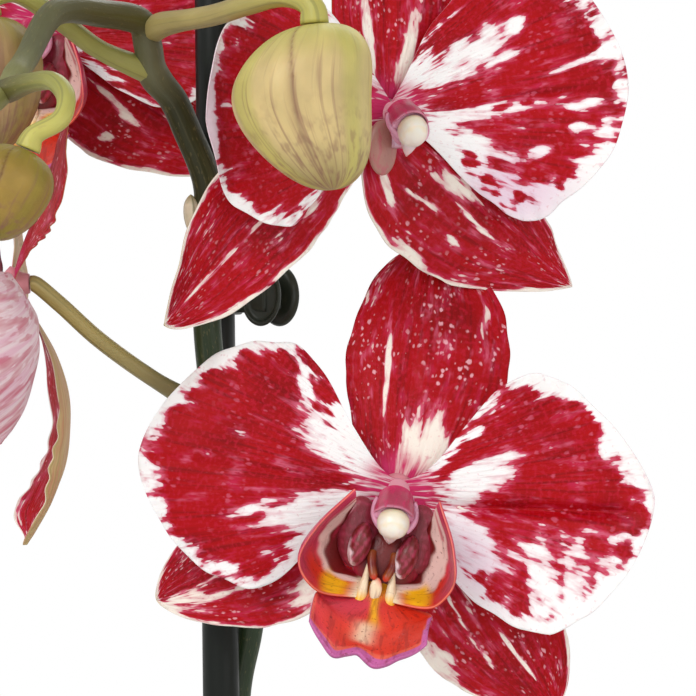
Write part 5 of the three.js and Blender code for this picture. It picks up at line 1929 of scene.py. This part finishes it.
@dataclass(frozen=True)
class Planter:
    """The cover pot, the liner in it and the bark that fills the liner."""

    height: float = 122.0
    foot: float = 44.0
    rim: float = 63.0
    wall: float = 4.0
    floor: float = 6.0
    liner_gap: float = 1.2
    liner_wall: float = 1.0
    bark_gap: float = 0.6
    bark_top: float = 108.0
    chips: int = 230
    least: Point = (4.5, 3.0, 1.6)  # a chip's half sizes
    most: Point = (9.0, 5.5, 3.2)
    seed: int = 20

    def side(self, z: float) -> float:
        """The pot's outer radius at a height, by a straight taper."""
        return mix(self.foot, self.rim, z / self.height)

    def inside(self, z: float) -> float:
        """The pot's inner radius at a height."""
        return self.side(z) - self.wall

    def filled(self, z: float) -> float:
        """The bark's outer radius at a height."""
        return self.inside(z) - self.liner_gap - self.liner_wall - GAP - self.bark_gap

    def rounded(self, profile: Sequence[Pair], bend: float) -> Array:
        """A profile whose corners are turned into short arcs.

        Args:
            profile: its corners.
            bend: distance from a corner at which its arc starts, mm.

        Returns:
            The profile's points.
        """
        corners = np.asarray(profile, float)
        before, here, after = corners[:-2], corners[1:-1], corners[2:]
        near, far = (
            np.minimum(bend, 0.45 * np.linalg.norm(here - other, axis=1))[:, None]
            for other in (before, after)
        )
        start, end = here + unit(before - here) * near, here + unit(after - here) * far
        w = np.linspace(0, 1, 6)[None, :, None]
        arcs = start[:, None] * (1 - w) ** 2 + 2 * here[:, None] * w * (1 - w) + end[:, None] * w**2
        return np.vstack([corners[:1], arcs.reshape(-1, 2), corners[-1:]])

    def pot(self, finishes: Finishes) -> None:
        """Casts the cover pot with its rolled rim.

        Args:
            finishes: the materials.
        """
        foot, rim, top, floor = self.foot, self.rim, self.height, self.floor
        profile = [
            (AXIS, 1.2), (foot - 7, 1.2), (foot - 6, 0), (foot - 1.5, 0), (foot, 1.5),
            (self.side(top - 12) - 0.4, top - 12), (self.side(top - 11) + 1, top - 11), (rim + 1, top - 1.4),
            (rim - 0.6, top), (self.inside(top) + 1.2, top), (self.inside(top - 1.5), top - 1.5),
            (self.inside(floor + 5), floor + 5), (self.inside(floor) - 4, floor), (AXIS, floor),
        ]
        mould = Mould()
        mould.skin(lathe(self.rounded(profile, 1.1), 144))
        mould.cast("cover_pot_glazed", finishes.glaze, "glaze", "cover_pot")

    def liner(self, finishes: Finishes) -> None:
        """Gives the liner, whose own shape is right, its moulded plastic finish.

        Args:
            finishes: the materials.
        """
        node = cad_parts["liner_pot"]
        node.data.materials.clear()
        node.data.materials.append(finishes.liner)

    def bark(self, finishes: Finishes) -> None:
        """Casts the bark: a plug under a heap of split chips, drawn from one seed.

        A chip is a rounded box, its half sizes a, b, c shaped by the power 0.55 of the sines
        and cosines of two angles, roughened by sines, then turned at random.

        Args:
            finishes: the materials.
        """
        low, top = self.floor + GAP + self.liner_wall + GAP, self.bark_top - 3.5
        gap = self.bark_gap
        core = [(AXIS, low), (self.filled(low) - 7, low), (self.filled(low + 8) - gap, low + 8)]
        mould = Mould()
        mould.skin(lathe([*core, (self.filled(top) - gap, top), (AXIS, top)], 90))
        draw = np.random.default_rng(self.seed)
        index = np.arange(self.chips)
        away = np.sqrt((index + 0.5) / self.chips) * (self.filled(self.bark_top) - 7.5)
        spin = index * 2 * np.pi / 1.618
        size = draw.uniform(self.least, self.most, (self.chips, 3))
        tilt = draw.uniform(-0.55, 0.55, (self.chips, 2))
        turn = draw.uniform(0, np.pi, self.chips)
        sink = draw.uniform(0.2, 3.4, self.chips)
        v, w = np.linspace(-np.pi / 2 + 0.05, np.pi / 2 - 0.05, 9)[:, None], around(14)
        parts = np.broadcast_arrays(np.cos(v) * np.cos(w), np.cos(v) * np.sin(w), np.sin(v))
        box = squared(np.stack(parts, -1), 0.55)
        for k in index:
            rough = 1 + 0.1 * np.sin(5 * w + k) * np.cos(3 * v + 2 * k) + 0.06 * np.sin(9 * w + 3 * k)
            chip = box * size[k] * rough[..., None]
            about = turning("z", np.degrees(turn[k])) @ turning("x", np.degrees(tilt[k, 0]))
            lean = turning("z", 90) @ turning("x", np.degrees(tilt[k, 1])) @ turning("z", -90)
            place = (away[k] * np.cos(spin[k]), away[k] * np.sin(spin[k]), self.bark_top - 1.2 - sink[k])
            mould.skin(chip @ (about @ lean).T + place)
        mould.cast("bark_chips", finishes.bark, "bark", "bark_mix")


@dataclass(frozen=True)
class Support:
    """The stake behind the spike and the two spring clips that hold them together."""

    radius: float = 3.4
    foot: Point = (6.8, 2, 24)
    top: Point = (0.6, 2, 548)
    band: float = 0.6  # how far a clip's band stands off
    pad: Point = (12.4, 2.9, 0.6)  # a pad's place in front of the band, aside and up
    arm: Pair = (8.4, 2.2)  # an arm's middle in front of the band and aside
    splay: float = 8.0  # degrees between an arm and the clip's own way
    straight: float = 506.0  # the spike's height up to which a clip can hold it
    dish: tuple[Pair, ...] = (
        (AXIS, -0.6), (4.4, -0.6), (5.1, -0.1), (5.4, 0.7), (5.1, 0.95), (4.7, 0.9), (4.3, 0.45), (3.9, 0.3),
        (AXIS, 0.3),
    )

    def at(self, z: float) -> Array:
        """The stake's axis at a height, on the line from foot to top."""
        foot, top = np.array(self.foot), np.array(self.top)
        return mix(foot, top, (z - foot[2]) / (top[2] - foot[2]))

    def stake(self, finishes: Finishes) -> None:
        """Casts the stake with its rounded ends.

        Args:
            finishes: the materials.
        """
        foot, top = np.array(self.foot), np.array(self.top)
        length = np.linalg.norm(top - foot)
        end = np.array([0, 0.15, 0.5, 1.2, 2.4])
        along = np.concatenate([end, np.linspace(6, length - 6, 40), length - end[::-1]])
        share = np.clip(np.minimum(along, length - along) / end[-1], 0, 1)
        radius = self.radius * np.sqrt(np.clip(1 - (1 - share) ** 2, 0.0004, 1))
        mould = Mould()
        mould.skin(tube(foot + unit(top - foot) * along[:, None], radius, 48))
        mould.cast("stake_rod", finishes.stake, "stake", "stake")

    def clip(self, name: str, z: float, facing: float, spike: Spike, finishes: Finishes) -> None:
        """Casts a spring clip: an oval band, two arms and two dished finger pads.

        Args:
            name: which clip.
            z: its height.
            facing: the way its pads point, degrees.
            spike: the stem that it holds.
            finishes: the materials.
        """
        path = evenly(spike.path, 900)
        path = path[path[:, 2] < self.straight]
        stem = path[np.abs(path[:, 2] - z).argmin()]
        stake = self.at(z)
        middle = (stem + stake) / 2 * (1, 1, 0)
        apart = stem[:2] - stake[:2]
        long, short = (half + self.radius + GAP + self.band for half in (np.linalg.norm(apart) / 2, 0))
        turn, section = around(96)[:, None], around(16)
        out_, up_ = 0.7 + 0.7 * np.cos(section), 2.8 * squared(np.sin(section), 0.4)
        band = np.broadcast_arrays((long + out_) * np.cos(turn), (short + out_) * np.sin(turn), up_)
        turned = turning("z", np.degrees(np.arctan2(apart[1], apart[0])))
        mould = Mould()
        mould.hoop(np.stack(band, -1) @ turned.T + middle + (0, 0, z))
        out, side = compass(facing)
        arm, corner = np.linspace(-5, 5, 16), around(12)
        wide, tall = 0.75 * squared(np.cos(corner), 0.5), 2.5 * squared(np.sin(corner), 0.5)
        box = np.stack([0 * corner, wide, tall], -1)
        rings = box + np.stack([arm, 0 * arm, 0 * arm], -1)[:, None]
        pad = lathe(spline(self.dish, np.linspace(0, 1, 48)), 56) * (0.76, 1.04, 1)
        ahead, aside, above = self.pad
        for flip in (1, -1):
            seat = middle + out * ahead + side * flip * aside + UP * (z + above)
            mould.skin(pad @ np.stack([out, UP, side * flip], 1).T + seat)
            reach = middle + out * self.arm[0] + side * flip * self.arm[1] + UP * z
            mould.skin(rings @ turning("z", facing + flip * self.splay).T + reach)
        mould.cast(f"spring_clip_{name}", finishes.clip, "clip", f"clip_{name}")


@dataclass(frozen=True)
class Studio:
    """The plain floor, the soft lights and the camera, in metres."""

    target: Point = (0.02, 0.0, 0.44)
    floor_reach: float = 3.0
    floor_level: float = -0.0002
    camera_place: Point = (0.026, -0.632, 0.460)
    focal_length: float = 176.3  # mm
    sensor: float = 36.0  # mm
    near: float = 0.02
    lamps: tuple[tuple[str, Point, float, float], ...] = (
        ("key", (-0.7, -1.3, 1.25), 0.8, 13.0),
        ("fill", (0.9, -1.1, 0.7), 0.9, 3.0),
        ("rim", (0.3, 1.0, 1.3), 0.8, 6.0),
    )  # name, place, side and watts

    def floor(self) -> None:
        """Lays a wide pale floor, matt as paper, so that no reflection competes with the plant."""
        material, tree = new_material("studio floor, matt paper")
        cover(tree, {"Base Color": Shade.FLOOR, "Roughness": 0.9})
        mesh = bpy.data.meshes.new("studio_floor")
        x, z = self.floor_reach, self.floor_level
        mesh.from_pydata([(-x, -x, z), (x, -x, z), (x, x, z), (-x, x, z)], [], [(0, 1, 2, 3)])
        mesh.materials.append(material)
        stand("studio_floor", mesh)

    def light(self, name: str, place: Point, size: float, power: float) -> None:
        """Adds one soft square light that faces the flowers.

        Args:
            name: which light.
            place: where it hangs.
            size: its side.
            power: in watts.
        """
        lamp = bpy.data.lights.new(name, "AREA")
        lamp.size = size
        lamp.energy = power
        holder = stand(name, lamp)
        holder.location = place
        holder.rotation_euler = (Vector(self.target) - Vector(place)).to_track_quat("-Z", "Y").to_euler()

    def camera(self) -> None:
        """Sets the camera level with the flowers, close in front."""
        lens = bpy.data.cameras.new("camera")
        lens.lens = self.focal_length
        lens.sensor_width = self.sensor
        lens.clip_start = self.near
        holder = stand("camera", lens)
        holder.location = self.camera_place
        holder.rotation_euler = (np.pi / 2, 0.0, 0.0)
        bpy.context.scene.camera = holder

    def world(self) -> None:
        """Surrounds the scene with white light, brightest in a band all round the horizon."""
        world = bpy.data.worlds.new("studio")
        world.use_nodes = True
        tree = world.node_tree
        tree.nodes.clear()
        way = parted(tree, add_node(tree, "TexCoord").outputs["Generated"])
        level = ramp(tree, maths(tree, "ABSOLUTE", way["Z"]), 0.14, 0.5, 0.5, 1.0, soft=False)
        glow = add_node(tree, "Background", {"Color": (1.0, 1.0, 1.0, 1.0), "Strength": level})
        add_node(tree, "OutputWorld", {"Surface": glow})
        bpy.context.scene.world = world
        bpy.context.scene.view_settings.view_transform = "Standard"

    def build(self) -> None:
        """Builds camera, floor, world and lights."""
        self.camera()
        self.floor()
        self.world()
        for lamp in self.lamps:
            self.light(*lamp)


def main() -> None:
    """Builds the studio, then the plant from the pot upwards."""
    logging.basicConfig(level=logging.INFO, format="%(name)s %(message)s")
    Studio().build()
    finishes = Finishes()
    planter = Planter()
    planter.pot(finishes)
    planter.liner(finishes)
    planter.bark(finishes)
    Crown().dress(finishes)
    for index, leaf in enumerate(LEAVES, 1):
        leaf.dress(index, finishes)
    for index, root in enumerate(ROOTS, 1):
        root.dress(index, finishes)
    spike = Spike()
    spike.dress(finishes)
    support = Support()
    support.stake(finishes)
    support.clip("upper", 469, -28, spike, finishes)
    support.clip("lower", 318, -20, spike, finishes)
    for piece in (*BLOOMS, *BUDS):
        piece.dress(finishes)


if __name__ == "__main__":
    main()
